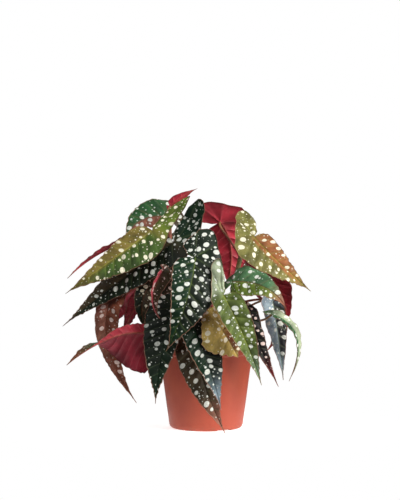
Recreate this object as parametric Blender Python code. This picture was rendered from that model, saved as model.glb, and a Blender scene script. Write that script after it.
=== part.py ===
"""Potted polka dot begonia (Begonia maculata) in a plastic nursery pot.

Metres, +Z up.  The origin is the middle of the pot's underside and -Y is the front of the plant.
The pot is a turned shell, the soil fills it, four canes stand in plain holes in the soil with
their leaf stalks fused on, and every leaf blade is a solid of its own on the end of its stalk.
"""

from collections import namedtuple
from math import acos, cos, pi, radians, sin

import bmesh
import bpy
import numpy as np

MM = 0.001

# Pot
POT_HEIGHT = 106.0 * MM
FOOT_RADIUS = 45.5 * MM
RIM_RADIUS = 61.0 * MM
BAND_HEIGHT = 14.0 * MM        # the thickened band under the rim
WALL = 1.6 * MM
FLOOR = 2.0 * MM               # thickness of the pot's bottom
CHANNEL = 3.0 * MM             # how far the drainage channel is raised
PAD_RADIUS = 17.0 * MM         # flat disc in the middle of the underside
NOTCH_COUNT = 3
NOTCH_WIDTH = 22.0 * MM
NOTCH_DEPTH = 1.6 * MM
HOLE_COUNT = 8
HOLE_RADIUS = 4.0 * MM
POT_SIDES = 40

# Soil
SOIL_LEVEL = 93.0 * MM
SOIL_MOUND = 4.0 * MM
CLEARANCE = 0.3 * MM           # gap between neighbouring solids
HOLE_DEPTH = 27.0 * MM         # how deep a cane stands in the soil

# Canes and stalks
CANE_SIDES = 9
STALK_SIDES = 5
CANE_FOOT = 4.6 * MM
CANE_TOP = 2.6 * MM
SWELLING = 0.9 * MM
STALK_RADIUS = 1.7 * MM
STALK_END = 1.25 * MM
SEAT = 0.15 * MM               # between a stalk's end and the blade, besides its rounding

# Leaf blades
BLADE = 0.8 * MM               # thickness
ROWS = 9                       # rows along the midrib
LOBE_ROWS = 6                  # rows fanned round the big lobe
SHOULDER_ROWS = 2              # rows fanned round the small shoulder
COLUMNS = 3                    # from midrib to rim, one fewer on a narrow blade
NARROW = 19
VEIN_SLANT = 0.6               # how far a side vein runs forward for each unit out

Cane = namedtuple("Cane", "foot middle top")
CANES = {
    "cane_left": Cane((-20, -6, 0), (-27, -10, 155), (-44, -16, 226)),
    "cane_front": Cane((4, -18, 0), (3, -30, 150), (-6, -40, 222)),
    "cane_right": Cane((22, 2, 0), (30, 2, 150), (46, 8, 224)),
    "cane_back": Cane((-2, 26, 0), (-2, 45, 150), (-4, 62, 197)),
}

# node: where stalk and blade meet; via: a point half way along the midrib; tip: the leaf's point.
# face: where the upper side looks at the node; turn: where it looks at the tip.
# big, small: half widths; lobe: length of the big lobe behind the node; full: how broad it is;
# lean: how far it leans to its own side; side: +1 if it is on the left.
# fold: how far the halves rise from flat, degrees; curl: how fast they roll down, degrees per 10 mm.
# nod: how fast the lobe bends down behind the node, degrees per 10 mm; wave: height of the edge's waves.
LEAF_FIELDS = ("name cane at node via tip face turn big small lobe full lean side fold curl nod wave "
               "phase colour")
Leaf = namedtuple("Leaf", LEAF_FIELDS)

OLIVE = (0.20, 0.17, 0.06)
GREEN = (0.05, 0.14, 0.05)
BRIGHT = (0.13, 0.27, 0.07)
DARK = (0.015, 0.045, 0.028)
BROWN = (0.09, 0.05, 0.03)
SLATE = (0.03, 0.07, 0.09)
RED = (0.30, 0.03, 0.06)


def leaf(name, cane, at, node, via, tip, face, turn=None, big=30, small=24, lobe=40, full=1.0,
         lean=0.0, side=1, fold=(14, 14), curl=(6, 6), nod=8, wave=1.5, phase=0.0, colour=GREEN):
    """One row of the leaf table, lengths in millimetres."""
    return Leaf("leaf_" + name, "cane_" + cane, at, node, via, tip, face, turn or face,
                big, small, lobe, full, lean, side, fold, curl, nod, wave, phase, colour)


LEAVES = [
    leaf("upper_left", "left", 0.97, (-66, -40, 246), (-116, -60, 209), (-170, -66, 170),
         (-0.1, -0.75, 0.65), (-0.2, -0.85, 0.5), big=34, small=20, lobe=66, full=0.6, nod=-3,
         fold=(4, 8), colour=OLIVE),
    leaf("upper_left_under", "left", 0.90, (-72, -6, 238), (-124, -28, 222), (-170, -42, 188),
         (-0.2, 0.2, 0.95), (-0.2, 0.25, 0.93), big=24, small=20, lobe=18, side=-1, colour=GREEN),
    leaf("crown_left", "left", 0.99, (-46, 14, 262), (-80, 0, 259), (-101, -12, 234),
         (-0.25, -0.8, 0.6), (-0.5, -0.8, 0.2), big=28, small=28, lobe=30, side=-1, colour=DARK),
    leaf("crown_young", "left", 1.0, (-44, -14, 276), (-29, -20, 288), (-11, -22, 298),
         (0.5, 0.6, 0.6), None, big=8, small=8, lobe=6, side=1, fold=(4, 4), wave=0.5, colour=RED),
    leaf("left_long", "front", 0.96, (-40, -40, 232), (-104, -40, 186), (-176, -38, 129),
         (-0.1, -0.8, 0.6), (-0.3, -0.8, 0.5), big=32, small=26, lobe=62, full=1.1, lean=-0.3,
         nod=-6, colour=DARK),
    leaf("front_large", "front", 1.0, (-13, -86, 214), (-24, -112, 161), (-48, -104, 103),
         (0.0, -0.95, 0.3), (-0.1, -0.98, 0.1), big=38, small=26, lobe=42, full=0.95, lean=0.4,
         nod=-4, fold=(0, 10), curl=(8, 6), colour=DARK),
    leaf("front_left_low", "front", 0.50, (-40, -65, 154), (-53, -85, 101), (-61, -78, 38),
         (-0.15, -0.95, 0.3), (-0.1, -1.0, -0.1), big=30, small=20, lobe=26, side=-1, fold=(14, 0),
         colour=DARK),
    leaf("front_low", "front", 0.42, (-16, -82, 140), (3, -105, 90), (19, -103, 34),
         (0.1, -0.95, 0.3), (0.1, -1.0, 0.0), big=27, small=20, lobe=22, side=1, fold=(-4, 10),
         colour=DARK),
    leaf("front_lowest", "front", 0.30, (-15, -64, 116), (-2, -84, 61), (23, -92, 4),
         (0.1, -0.95, 0.3), (0.1, -1.0, 0.0), big=26, small=24, lobe=18, side=-1, colour=BROWN),
    leaf("front_scalloped", "right", 0.30, (19, -100, 128), (30, -101, 110), (38, -96, 95),
         (0.1, -0.97, 0.25), None, big=30, small=20, lobe=36, side=-1, wave=1.6, fold=(4, 4),
         colour=OLIVE),
    leaf("right_bright", "front", 0.50, (20, -108, 170), (45, -122, 119), (65, -112, 64),
         (0.1, -0.95, 0.3), (0.15, -1.0, 0.0), big=18, small=20, lobe=44, lean=-0.4, side=-1, nod=-8,
         colour=BRIGHT),
    leaf("right_front", "right", 0.62, (32, -60, 184), (70, -80, 178), (96, -84, 152),
         (0.1, -0.7, 0.7), (0.4, -0.75, 0.5), big=24, small=24, lobe=14, side=1, fold=(18, 0),
         colour=BROWN),
    leaf("upper_right", "right", 0.97, (59, -22, 238), (90, -38, 206), (128, -44, 172),
         (0.15, -0.8, 0.6), (0.2, -0.85, 0.5), big=36, small=18, lobe=44, full=0.8, lean=-0.4,
         side=-1, nod=2, colour=OLIVE),
    leaf("crown_back", "right", 0.93, (18, 22, 256), (32, 38, 222), (27, 46, 172),
         (0.0, 0.85, 0.5), (0.0, 1.0, 0.1), big=36, small=34, lobe=38, side=-1, nod=0, colour=GREEN),
    leaf("right_red", "right", 0.62, (60, -8, 196), (90, -18, 178), (101, -20, 122),
         (0.2, 0.5, 0.85), (0.9, 0.45, 0.1), big=26, small=22, lobe=10, side=-1, colour=GREEN),
    leaf("right_folded", "right", 0.50, (81, -48, 160), (88, -58, 112), (94, -54, 64),
         (0.3, -0.9, 0.3), (0.4, -0.9, 0.0), big=17, small=14, lobe=18, side=-1,
         fold=(18, 18), colour=SLATE),
    leaf("right_strap", "right", 0.42, (79, -74, 146), (109, -80, 118), (100, -76, 65),
         (0.7, -0.5, 0.5), (0.9, -0.4, -0.2), big=11, small=10, lobe=12, side=1,
         fold=(8, 8), wave=0.6, colour=GREEN),
    leaf("right_inner", "right", 0.30, (50, -70, 150), (64, -76, 108), (88, -62, 57),
         (0.2, -0.9, 0.4), (0.6, -0.8, 0.0), big=12, small=11, lobe=14, side=1, colour=DARK),
    leaf("left_drooping", "left", 0.78, (-104, -28, 182), (-122, -46, 118), (-85, -38, 34),
         (-0.5, -0.8, 0.4), (-0.1, -1.0, -0.1), big=22, small=16, lobe=16, side=1, colour=BROWN),
    leaf("left_red", "left", 0.58, (-60, -14, 176), (-86, -34, 154), (-101, -52, 114),
         (-0.3, 0.55, 0.8), (-0.8, 0.6, 0.1), big=24, small=22, lobe=12, side=-1, colour=GREEN),
    leaf("left_low_turned", "front", 0.22, (-62, -56, 119), (-111, -80, 119), (-167, -86, 86),
         (0.1, 0.97, -0.1), (0.2, -0.3, 0.93), big=49, small=12, lobe=7, side=-1,
         fold=(10, 10), wave=0.6, colour=GREEN),
    leaf("left_spotted", "left", 0.46, (-67, -44, 182), (-78, -56, 155), (-72, -50, 122),
         (-0.2, -0.9, 0.3), (-0.1, -1.0, 0.0), big=17, small=13, lobe=14, side=1, fold=(-4, 12),
         colour=BROWN),
    leaf("left_inner", "front", 0.58, (-44, -30, 190), (-54, -42, 158), (-56, -42, 122),
         (-0.1, -0.95, 0.3), None, big=23, small=14, lobe=14, side=1, fold=(-5, 5), colour=BROWN),
    leaf("front_young", "front", 0.62, (-52, -78, 197), (-64, -88, 168), (-55, -82, 141),
         (0.3, -0.9, 0.2), (0.3, -0.9, 0.0), big=14, small=12, lobe=10, side=1,
         fold=(14, 60), curl=(6, -6), wave=0.4, colour=RED),
    leaf("back_left", "back", 0.80, (-48, 68, 216), (-90, 88, 190), (-116, 96, 138),
         (-0.5, 0.5, 0.7), (-0.7, 0.6, 0.3), big=32, small=25, lobe=33, side=1, phase=0.6,
         colour=DARK),
    leaf("back_right", "back", 0.88, (56, 70, 206), (86, 90, 180), (100, 100, 126),
         (0.4, 0.5, 0.75), (0.7, 0.6, 0.3), big=32, small=25, lobe=28, side=-1, colour=OLIVE),
    leaf("back_middle", "back", 0.70, (0, 84, 188), (-2, 108, 150), (-10, 112, 92),
         (0.0, 0.9, 0.45), (0.0, 1.0, 0.1), big=34, small=26, lobe=16, side=1, colour=DARK),
    leaf("back_low_left", "back", 0.45, (-42, 66, 146), (-66, 88, 110), (-76, 92, 60),
         (-0.4, 0.8, 0.45), (-0.5, 0.9, 0.0), big=28, small=22, lobe=30, side=-1, colour=BROWN),
    leaf("back_low_right", "back", 0.52, (40, 66, 148), (56, 92, 110), (58, 98, 58),
         (0.4, 0.8, 0.45), (0.4, 0.9, 0.0), big=28, small=22, lobe=30, side=1, colour=DARK),
    leaf("side_left", "left", 0.72, (-70, 16, 182), (-110, 14, 154), (-126, 10, 102),
         (-0.2, 0.5, 0.85), (-0.4, 0.9, 0.1), big=28, small=22, lobe=20, side=-1, colour=DARK),
    leaf("side_right", "right", 0.72, (66, 34, 184), (90, 44, 154), (96, 46, 104),
         (0.7, 0.3, 0.7), (0.95, 0.3, 0.2), big=26, small=22, lobe=26, side=1, colour=DARK),
    leaf("crown_back_left", "left", 0.94, (-36, 30, 240), (-50, 54, 238), (-64, 80, 221),
         (-0.3, 0.25, 0.9), (-0.4, 0.6, 0.7), big=26, small=20, lobe=20, side=-1, colour=GREEN),
    leaf("side_left_upper", "left", 0.84, (-66, 6, 218), (-96, 18, 200), (-116, 20, 158),
         (-0.5, 0.3, 0.8), (-0.85, 0.4, 0.3), big=26, small=20, lobe=24, side=1, colour=BROWN),
    leaf("side_right_lower", "right", 0.24, (72, 12, 158), (88, 10, 126), (75, 2, 92),
         (0.9, 0.1, 0.4), (0.9, 0.5, -0.1), big=22, small=18, lobe=18, side=1, colour=GREEN),
    leaf("crown_middle", "back", 0.96, (-5, 30, 212), (-11, 8, 223), (-12, -14, 208),
         (0.0, -0.3, 0.9), (0.0, -0.6, 0.7), big=14, small=12, lobe=12, side=1, colour=BRIGHT),
    leaf("back_low_middle", "back", 0.36, (0, 68, 128), (4, 84, 90), (14, 84, 38),
         (0.0, 0.9, 0.4), (0.0, 1.0, 0.0), big=25, small=20, lobe=12, side=-1, colour=DARK),
]


# ---------------------------------------------------------------- curves

def unit(v):
    """The vectors v at length 1, along the last axis."""
    v = np.asarray(v, float)
    return v / np.linalg.norm(v, axis=-1, keepdims=True)


def smooth_through(points, count):
    """count points, evenly spaced along a smooth curve through the given flat points."""
    p = np.asarray(points, float)
    ends = np.vstack([2 * p[0] - p[1], p, 2 * p[-1] - p[-2]])
    t = np.linspace(0, 1, 24, endpoint=False)[:, None]
    pieces = []
    for a, b, c, d in zip(ends, ends[1:], ends[2:], ends[3:]):
        pieces.append(0.5 * (2 * b + (c - a) * t + (2 * a - 5 * b + 4 * c - d) * t ** 2
                             + (3 * b - a - 3 * c + d) * t ** 3))
    curve = np.vstack(pieces + [p[-1:]])
    along = np.concatenate([[0], np.cumsum(np.linalg.norm(np.diff(curve, axis=0), axis=1))])
    at = np.linspace(0, along[-1], count)
    return np.stack([np.interp(at, along, curve[:, k]) for k in range(p.shape[1])], axis=1)


class Midrib:
    """The midrib: a parabola through node, via and tip, and a circular arc behind the node."""

    def __init__(self, row):
        node, via, tip = (np.asarray(p, float) * MM for p in (row.node, row.via, row.tip))
        middle = 2 * via - 0.5 * (node + tip)
        t = np.linspace(0, 1, 401)[:, None]
        path = (1 - t) ** 2 * node + 2 * t * (1 - t) * middle + t ** 2 * tip
        slope = 2 * (1 - t) * (middle - node) + 2 * t * (tip - middle)
        self.path = path
        self.tangent = unit(slope)
        self.along = np.concatenate([[0], np.cumsum(np.linalg.norm(np.diff(path, axis=0), axis=1))])
        self.length = self.along[-1]
        self.face = np.asarray(row.face, float)
        self.turn = np.asarray(row.turn, float)
        self.nod = radians(row.nod) / (10 * MM)

    def frame(self, x):
        """Point, direction and upper-side normal at the distance x from the node, behind it too."""
        inside = np.clip(x, 0, self.length)
        point = np.stack([np.interp(inside, self.along, self.path[:, k]) for k in range(3)], -1)
        ahead = unit(np.stack([np.interp(inside, self.along, self.tangent[:, k])
                               for k in range(3)], -1))
        share = (inside / self.length)[..., None]
        share = share * share * (3 - 2 * share)
        look = unit(self.face) * (1 - share) + unit(self.turn) * share
        up = unit(look - ahead * np.sum(look * ahead, -1, keepdims=True))
        behind = np.maximum(-x, 0)[..., None]
        angle = self.nod * behind
        reach = np.sinc(angle / pi) * behind
        drop = np.sinc(angle / (2 * pi)) * np.sin(angle / 2) * behind
        point = point - ahead * reach - up * drop
        cosine, sine = np.cos(angle), np.sin(angle)
        return point, ahead * cosine + up * sine, up * cosine - ahead * sine


# ---------------------------------------------------------------- leaf blades

def half_outlines(row, length):
    """The flat rim of the big half and of the small half, each from the sinus to the tip."""
    w, s, b = row.big * MM, row.small * MM, row.lobe * MM
    far = length
    broad = w * row.full
    lean = row.lean * b
    big = [(-0.08 * b, -0.34 * broad), (-0.45 * b, 0.20 * lean - 0.68 * broad),
           (-0.85 * b, 0.72 * lean - 0.45 * broad), (-b, lean),
           (-0.86 * b, 0.74 * lean + 0.42 * broad), (-0.45 * b, 0.20 * lean + 0.80 * broad),
           (0.0, 0.49 * (w + broad)), (0.16 * far, w),
           (0.38 * far, 0.86 * w), (0.60 * far, 0.58 * w), (0.80 * far, 0.25 * w),
           (0.92 * far, 0.07 * w), (far, 0.0)]
    small = [(0.005 * far, -0.30 * s), (0.02 * far, -0.62 * s), (0.07 * far, -0.90 * s),
             (0.18 * far, -s), (0.38 * far, -0.88 * s), (0.60 * far, -0.58 * s),
             (0.80 * far, -0.25 * s), (0.92 * far, -0.07 * s), (far, 0.0)]
    return smooth_through(big, 1200), smooth_through(small, 1200)


def half_grid(rim, length, fan, rows, columns):
    """Flat grid of one half: rows run from the midrib to the rim the way the side veins do."""
    foot = np.maximum(rim[:, 0] - VEIN_SLANT * np.abs(rim[:, 1]), 0)
    foot = np.maximum.accumulate(foot)
    first = max(int(np.argmax(foot > 1e-7)), 30)
    marks = length * (np.arange(1, rows + 1) / rows)
    picks = np.concatenate([np.linspace(0, first, fan, endpoint=False),
                            np.interp(marks, foot[first:], np.arange(first, len(foot)))])
    ends = np.stack([np.interp(picks, np.arange(len(rim)), rim[:, k]) for k in range(2)], -1)
    feet = np.stack([np.concatenate([np.zeros(fan), marks]), np.zeros(fan + rows)], -1)
    share = (np.arange(columns + 1) / columns)[None, :, None]
    return feet[:, None] * (1 - share) + ends[:, None] * share


def blade_surface(row, midrib, flat):
    """Bends flat leaf coordinates (x along the midrib, y out to the side) into place."""
    x, y = flat[..., 0], flat[..., 1] * row.side
    point, ahead, up = midrib.frame(x)
    left = np.cross(up, ahead)
    soft = 0.8 * MM + 5.2 * MM * np.clip(-x / (12 * MM), 0, 1)
    out = np.sqrt(y * y + soft * soft) - soft
    is_big = flat[..., 1] >= 0
    fade = np.clip(1 + x / (0.6 * row.lobe * MM), 0.25, 1)
    mean_fold = 0.5 * (row.fold[0] + row.fold[1])
    fold = np.where(is_big, row.fold[0], row.fold[1])
    fold = np.radians(np.where(x < 0, mean_fold + (fold - mean_fold) * fade, fold) * fade)
    curl = np.radians(np.where(is_big, row.curl[0], row.curl[1])) / (10 * MM)
    curl = np.where(np.abs(curl) < 1e-3, 1e-3, curl)
    angle = fold - curl * out
    across = (np.sin(fold) - np.sin(angle)) / curl * np.sign(y)
    rise = (np.cos(angle) - np.cos(fold)) / curl
    width = row.big * MM
    beat = 2 * pi / (30 * MM) * (x - 0.5 * np.abs(y)) + row.phase + 1.3 * (y > 0)
    ripple = row.wave * MM * np.clip(np.abs(y) / width, 0, 1.3) ** 1.6 * np.sin(beat)
    across = across - np.sign(y) * np.sin(angle) * ripple
    rise = rise + np.cos(angle) * ripple
    return point + left * across[..., None] + up * rise[..., None]


def surface_normal(row, midrib, flat):
    """Upper-side normal of the bent blade, from small steps in x and y."""
    step = 0.05 * MM
    dx = blade_surface(row, midrib, flat + (step, 0)) - blade_surface(row, midrib, flat - (step, 0))
    dy = blade_surface(row, midrib, flat + (0, step)) - blade_surface(row, midrib, flat - (0, step))
    return unit(np.cross(dx, dy)) * row.side


def blade_layout(row, midrib, rows, lobe_rows, shoulder_rows, columns):
    """Flat points, triangles of one face (upper side out) and the ring of rim points."""
    big_rim, small_rim = half_outlines(row, midrib.length)
    big = half_grid(big_rim, midrib.length, lobe_rows, rows, columns)
    small = half_grid(small_rim, midrib.length, shoulder_rows, rows, columns)
    flat = [(0.0, 0.0)]
    spine = [0]
    for k in range(rows - 1):
        spine.append(len(flat))
        flat.append(tuple(big[lobe_rows + k, 0]))
    spine.append(len(flat))
    flat.append((midrib.length, 0.0))
    faces = []
    edges = []
    for grid, fan in ((big, lobe_rows), (small, shoulder_rows)):
        lines = []
        for k in range(fan + rows - 1):
            line = [spine[max(0, k - fan + 1)]]
            for point in grid[k, 1:]:
                line.append(len(flat))
                flat.append(tuple(point))
            lines.append(line)
        lines.append([spine[-1]] * (columns + 1))
        turned = (grid is big) == (row.side > 0)
        for near, next_line in zip(lines, lines[1:]):
            for j in range(columns):
                a, b, c, d = near[j], near[j + 1], next_line[j + 1], next_line[j]
                for face in ((a, b, c), (a, c, d)):
                    if len(set(face)) == 3:
                        faces.append(face[::-1] if turned else face)
        edges.append(lines[0] + [line[-1] for line in lines[1:]])
    ring = edges[0] + edges[1][::-1][1:-1]
    return np.array(flat), np.array(faces), ring


def blade_solid(row):
    """Points and triangles of the closed blade."""
    midrib = Midrib(row)
    columns = COLUMNS if row.big >= NARROW else COLUMNS - 1
    flat, faces, ring = blade_layout(row, midrib, ROWS, LOBE_ROWS, SHOULDER_ROWS, columns)
    middle = blade_surface(row, midrib, flat)
    normal = surface_normal(row, midrib, flat)
    count = len(flat)
    points = np.vstack([middle + normal * BLADE / 2, middle - normal * BLADE / 2])
    solid = [tuple(f) for f in faces] + [tuple(f[::-1] + count) for f in faces]
    for a, b in zip(ring, ring[1:] + ring[:1]):
        quad = [(a, a + count, b + count), (a, b + count, b)]
        solid += quad if row.side > 0 else [q[::-1] for q in quad]
    return points, solid, midrib


# ---------------------------------------------------------------- tubes and turned shapes

def tube(path, radii, sides):
    """Points and faces of a closed tube with domed ends along a path."""
    path = np.asarray(path, float)
    ahead = unit(np.gradient(path, axis=0))
    side = unit(np.cross(ahead[0], (0.31, 0.87, 0.38)))
    turn = np.arange(sides) * 2 * pi / sides
    rings = []
    for point, way, radius in zip(path, ahead, radii):
        side = unit(side - way * np.dot(side, way))
        other = np.cross(way, side)
        rings.append(point + radius * (np.cos(turn)[:, None] * side + np.sin(turn)[:, None] * other))
    points = np.vstack(rings + [path[:1] - ahead[:1] * radii[0] * 0.3,
                                path[-1:] + ahead[-1:] * radii[-1] * 0.3])
    faces = []
    for k in range(len(path) - 1):
        for j in range(sides):
            a = k * sides + j
            b = k * sides + (j + 1) % sides
            faces.append((a, b, b + sides, a + sides))
    start, end = len(points) - 2, len(points) - 1
    last = (len(path) - 1) * sides
    for j in range(sides):
        faces.append((start, (j + 1) % sides, j))
        faces.append((end, last + j, last + (j + 1) % sides))
    return points, faces


def turned(profile, sides):
    """Points and faces of a closed (radius, height) loop turned about Z, clockwise in the section."""
    points = []
    faces = []
    loop = []
    for radius, height in profile:
        start = len(points)
        if radius < 1e-9:
            points.append((0.0, 0.0, height))
            loop.append([start] * sides)
        else:
            points += [(radius * cos(2 * pi * k / sides), radius * sin(2 * pi * k / sides), height)
                       for k in range(sides)]
            loop.append(list(range(start, start + sides)))
    for near, after in zip(loop, loop[1:] + loop[:1]):
        for k in range(sides):
            face = (near[k], near[(k + 1) % sides], after[(k + 1) % sides], after[k])
            face = tuple(dict.fromkeys(face))
            if len(face) > 2:
                faces.append(face)
    return points, faces


# ---------------------------------------------------------------- Blender objects

def clear_scene():
    """Starts from an empty scene."""
    for thing in list(bpy.data.objects):
        bpy.data.objects.remove(thing, do_unlink=True)


def material(name, colour, roughness, metallic=0.0):
    """A Principled material."""
    made = bpy.data.materials.new(name)
    made.use_nodes = True
    shader = made.node_tree.nodes["Principled BSDF"]
    shader.inputs["Base Color"].default_value = (*colour, 1.0)
    shader.inputs["Roughness"].default_value = roughness
    shader.inputs["Metallic"].default_value = metallic
    return made


def add(name, points, faces, look=None, smooth=True):
    """A mesh object from points and faces, with its faces turned outward."""
    mesh = bpy.data.meshes.new(name)
    mesh.from_pydata([tuple(p) for p in points], [], [tuple(int(i) for i in f) for f in faces])
    bm = bmesh.new()
    bm.from_mesh(mesh)
    bmesh.ops.recalc_face_normals(bm, faces=bm.faces)
    bm.to_mesh(mesh)
    bm.free()
    if smooth:
        mesh.shade_smooth()
        mesh.set_sharp_from_angle(angle=radians(40))
    if look:
        mesh.materials.append(look)
    made = bpy.data.objects.new(name, mesh)
    bpy.context.scene.collection.objects.link(made)
    return made


def apply_boolean(target, tools, operation):
    """Joins or cuts target with the tools as one collection, and removes the tools."""
    group = bpy.data.collections.new(target.name + "_tools")
    bpy.context.scene.collection.children.link(group)
    for tool in tools:
        bpy.context.scene.collection.objects.unlink(tool)
        group.objects.link(tool)
    modifier = target.modifiers.new("Boolean", "BOOLEAN")
    modifier.operation = operation
    modifier.operand_type = "COLLECTION"
    modifier.collection = group
    modifier.solver = "EXACT"
    graph = bpy.context.evaluated_depsgraph_get()
    graph.update()
    shaped = bpy.data.meshes.new_from_object(target.evaluated_get(graph))
    target.modifiers.clear()
    target.data = shaped
    for tool in tools:
        bpy.data.objects.remove(tool, do_unlink=True)
    bpy.data.collections.remove(group)


def pot_profile():
    """Section of the pot, from the middle of the underside out, up, over the rim and back down."""
    flare = (RIM_RADIUS - 1.2 * MM - FOOT_RADIUS) / POT_HEIGHT
    band = POT_HEIGHT - BAND_HEIGHT

    def wall(height):
        return FOOT_RADIUS + flare * height

    channel = [(0.0, 0.0), (PAD_RADIUS, 0.0), (PAD_RADIUS + 2 * MM, CHANNEL),
               (FOOT_RADIUS - 9 * MM, CHANNEL), (FOOT_RADIUS - 7 * MM, 0.0)]
    corner = 4.5 * MM
    outside = [(wall(0) - corner + 1.0 * MM, 0.0), (wall(0) - 1.2 * MM, 1.2 * MM),
               (wall(corner), corner), (wall(0.5 * band), 0.5 * band), (wall(band), band),
               (wall(band) + 1.2 * MM, band + 1.0 * MM), (RIM_RADIUS, POT_HEIGHT - 1.2 * MM),
               (RIM_RADIUS - 0.6 * MM, POT_HEIGHT)]
    inside = [(wall(POT_HEIGHT) - WALL, POT_HEIGHT), (wall(band) - WALL, band),
              (wall(corner + FLOOR) - WALL, corner + FLOOR),
              (wall(0) - WALL - 2.4 * MM, CHANNEL + FLOOR), (0.0, CHANNEL + FLOOR)]
    return channel + outside + inside


def make_pot():
    """The pot: a turned shell with drain holes in its channel and shallow notches in its foot."""
    look = material("terracotta plastic", (0.52, 0.10, 0.05), 0.42)
    pot = add("pot", *turned(pot_profile(), POT_SIDES), look)
    cutters = []
    middle = 0.5 * (PAD_RADIUS + FOOT_RADIUS - 7 * MM)
    for k in range(HOLE_COUNT):
        angle = 2 * pi * (k + 0.5) / HOLE_COUNT
        where = np.array((middle * cos(angle), middle * sin(angle), 0.0))
        cutters.append(add("drain_%d" % k, *tube([where - (0, 0, 2 * MM), where + (0, 0, 8 * MM)],
                                                 [HOLE_RADIUS] * 2, 8)))
    for k in range(NOTCH_COUNT):
        angle = radians(-59) + 2 * pi * k / NOTCH_COUNT
        out = np.array((cos(angle), sin(angle), 0.0))
        along = np.array((-out[1], out[0], 0.0)) * NOTCH_WIDTH / 2
        inner, outer = out * (FOOT_RADIUS - 8.5 * MM), out * (FOOT_RADIUS + 4 * MM)
        low, high = np.array((0, 0, -2 * MM)), np.array((0, 0, NOTCH_DEPTH))
        points = [inner - along + low, inner + along + low, outer + along + low, outer - along + low,
                  inner - along * 0.8 + high, inner + along * 0.8 + high,
                  outer + along * 0.8 + high, outer - along * 0.8 + high]
        faces = [(3, 2, 1, 0), (4, 5, 6, 7), (0, 1, 5, 4), (1, 2, 6, 5), (2, 3, 7, 6), (3, 0, 4, 7)]
        cutters.append(add("notch_%d" % k, points, faces))
    apply_boolean(pot, cutters, "DIFFERENCE")
    return pot


def cane_path(row, count):
    """Points up a cane: straight in the soil, then along a parabola."""
    foot, middle, top = (np.asarray(p, float) * MM for p in row)
    start = foot + (0, 0, SOIL_LEVEL + SOIL_MOUND)
    control = 2 * (middle - 0.25 * start - 0.25 * top)
    t = np.linspace(0, 1, count)[:, None]
    above = (1 - t) ** 2 * start + 2 * t * (1 - t) * control + t ** 2 * top
    return above


def make_soil():
    """The soil: fills the pot to just under its rim, mounded, with a plain hole for each cane."""
    look = material("potting soil", (0.035, 0.022, 0.015), 0.95)
    flare = (RIM_RADIUS - 1.2 * MM - FOOT_RADIUS) / POT_HEIGHT

    def wall(height):
        return FOOT_RADIUS + flare * height - WALL - CLEARANCE

    floor = CHANNEL + FLOOR + CLEARANCE
    top = SOIL_LEVEL
    shoulder = top - 2 * MM
    profile = [(0.0, floor), (wall(0) - 3.2 * MM, floor), (wall(8 * MM), 8 * MM),
               (wall(shoulder), shoulder), (wall(top) - 4 * MM, top),
               (0.66 * wall(top), top + 0.6 * SOIL_MOUND),
               (0.33 * wall(top), top + 0.9 * SOIL_MOUND), (0.0, top + SOIL_MOUND)]
    soil = add("soil", *turned(profile, POT_SIDES), look)
    cutters = []
    for name, row in CANES.items():
        foot = np.array((row.foot[0] * MM, row.foot[1] * MM, 0.0))
        path = [foot + (0, 0, SOIL_LEVEL - HOLE_DEPTH), foot + (0, 0, SOIL_LEVEL + 12 * MM)]
        cutters.append(add(name + "_hole", *tube(path, [CANE_FOOT + 0.5 * MM] * 2, 12)))
    apply_boolean(soil, cutters, "DIFFERENCE")
    return soil


def make_canes(midribs):
    """Each cane with its leaf stalks, joined into one body."""
    look = material("cane", (0.16, 0.10, 0.05), 0.5)
    for name, row in CANES.items():
        above = cane_path(row, 12)
        buried = SOIL_MOUND + HOLE_DEPTH - 0.3 * CANE_FOOT - CLEARANCE
        below = np.array([above[0] - (0, 0, buried), above[0] - (0, 0, 0.5 * buried)])
        share = np.linspace(0, 1, len(above))
        radius = CANE_FOOT + (CANE_TOP - CANE_FOOT) * share
        radius[2::2] += SWELLING * (1 - 0.5 * share[2::2])
        path = np.vstack([below, above])
        radii = np.concatenate([[CANE_FOOT, CANE_FOOT], radius])
        cane = add(name, *tube(path, radii, CANE_SIDES), look)
        stalks = []
        for leaf_row in LEAVES:
            if leaf_row.cane != name:
                continue
            midrib = midribs[leaf_row.name]
            point, ahead, up = (v[0] for v in midrib.frame(np.zeros(1)))
            at = leaf_row.at * (len(above) - 1)
            start = np.array([np.interp(at, np.arange(len(above)), above[:, k]) for k in range(3)])
            arrive = unit(0.8 * up + 0.45 * ahead)
            tilt = acos(float(np.clip(np.dot(arrive, up), -1, 1)))
            end = point - up * (BLADE / 2 + SEAT + STALK_END * (sin(tilt) + 0.3))
            span = np.linalg.norm(end - start)
            leave = unit(unit(end - start) + np.array((0, 0, 0.25)))
            one, two = start + leave * 0.35 * span, end - arrive * 0.38 * span
            t = np.linspace(0, 1, 7)[:, None]
            route = ((1 - t) ** 3 * start + 3 * t * (1 - t) ** 2 * one + 3 * t * t * (1 - t) * two
                     + t ** 3 * end)
            thick = np.linspace(min(STALK_RADIUS, CANE_TOP * 0.8), STALK_END, len(route))
            stalks.append(add(leaf_row.name + "_stalk", *tube(route, thick, STALK_SIDES)))
        apply_boolean(cane, stalks, "UNION")
        cane.data.shade_smooth()


def main():
    """Builds the whole plant."""
    clear_scene()
    make_pot()
    make_soil()
    midribs = {}
    for row in LEAVES:
        points, faces, midrib = blade_solid(row)
        look = material(row.name, row.colour, 0.45)
        add(row.name, points, faces, look)
        midribs[row.name] = midrib
    make_canes(midribs)


main()
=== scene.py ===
"""Potted polka dot begonia: pot, soil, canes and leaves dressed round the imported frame.

Metres, +Z up.  The origin is the middle of the pot's underside and -Y is the front of the plant.
"""

from collections import namedtuple
from math import pi, radians

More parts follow.
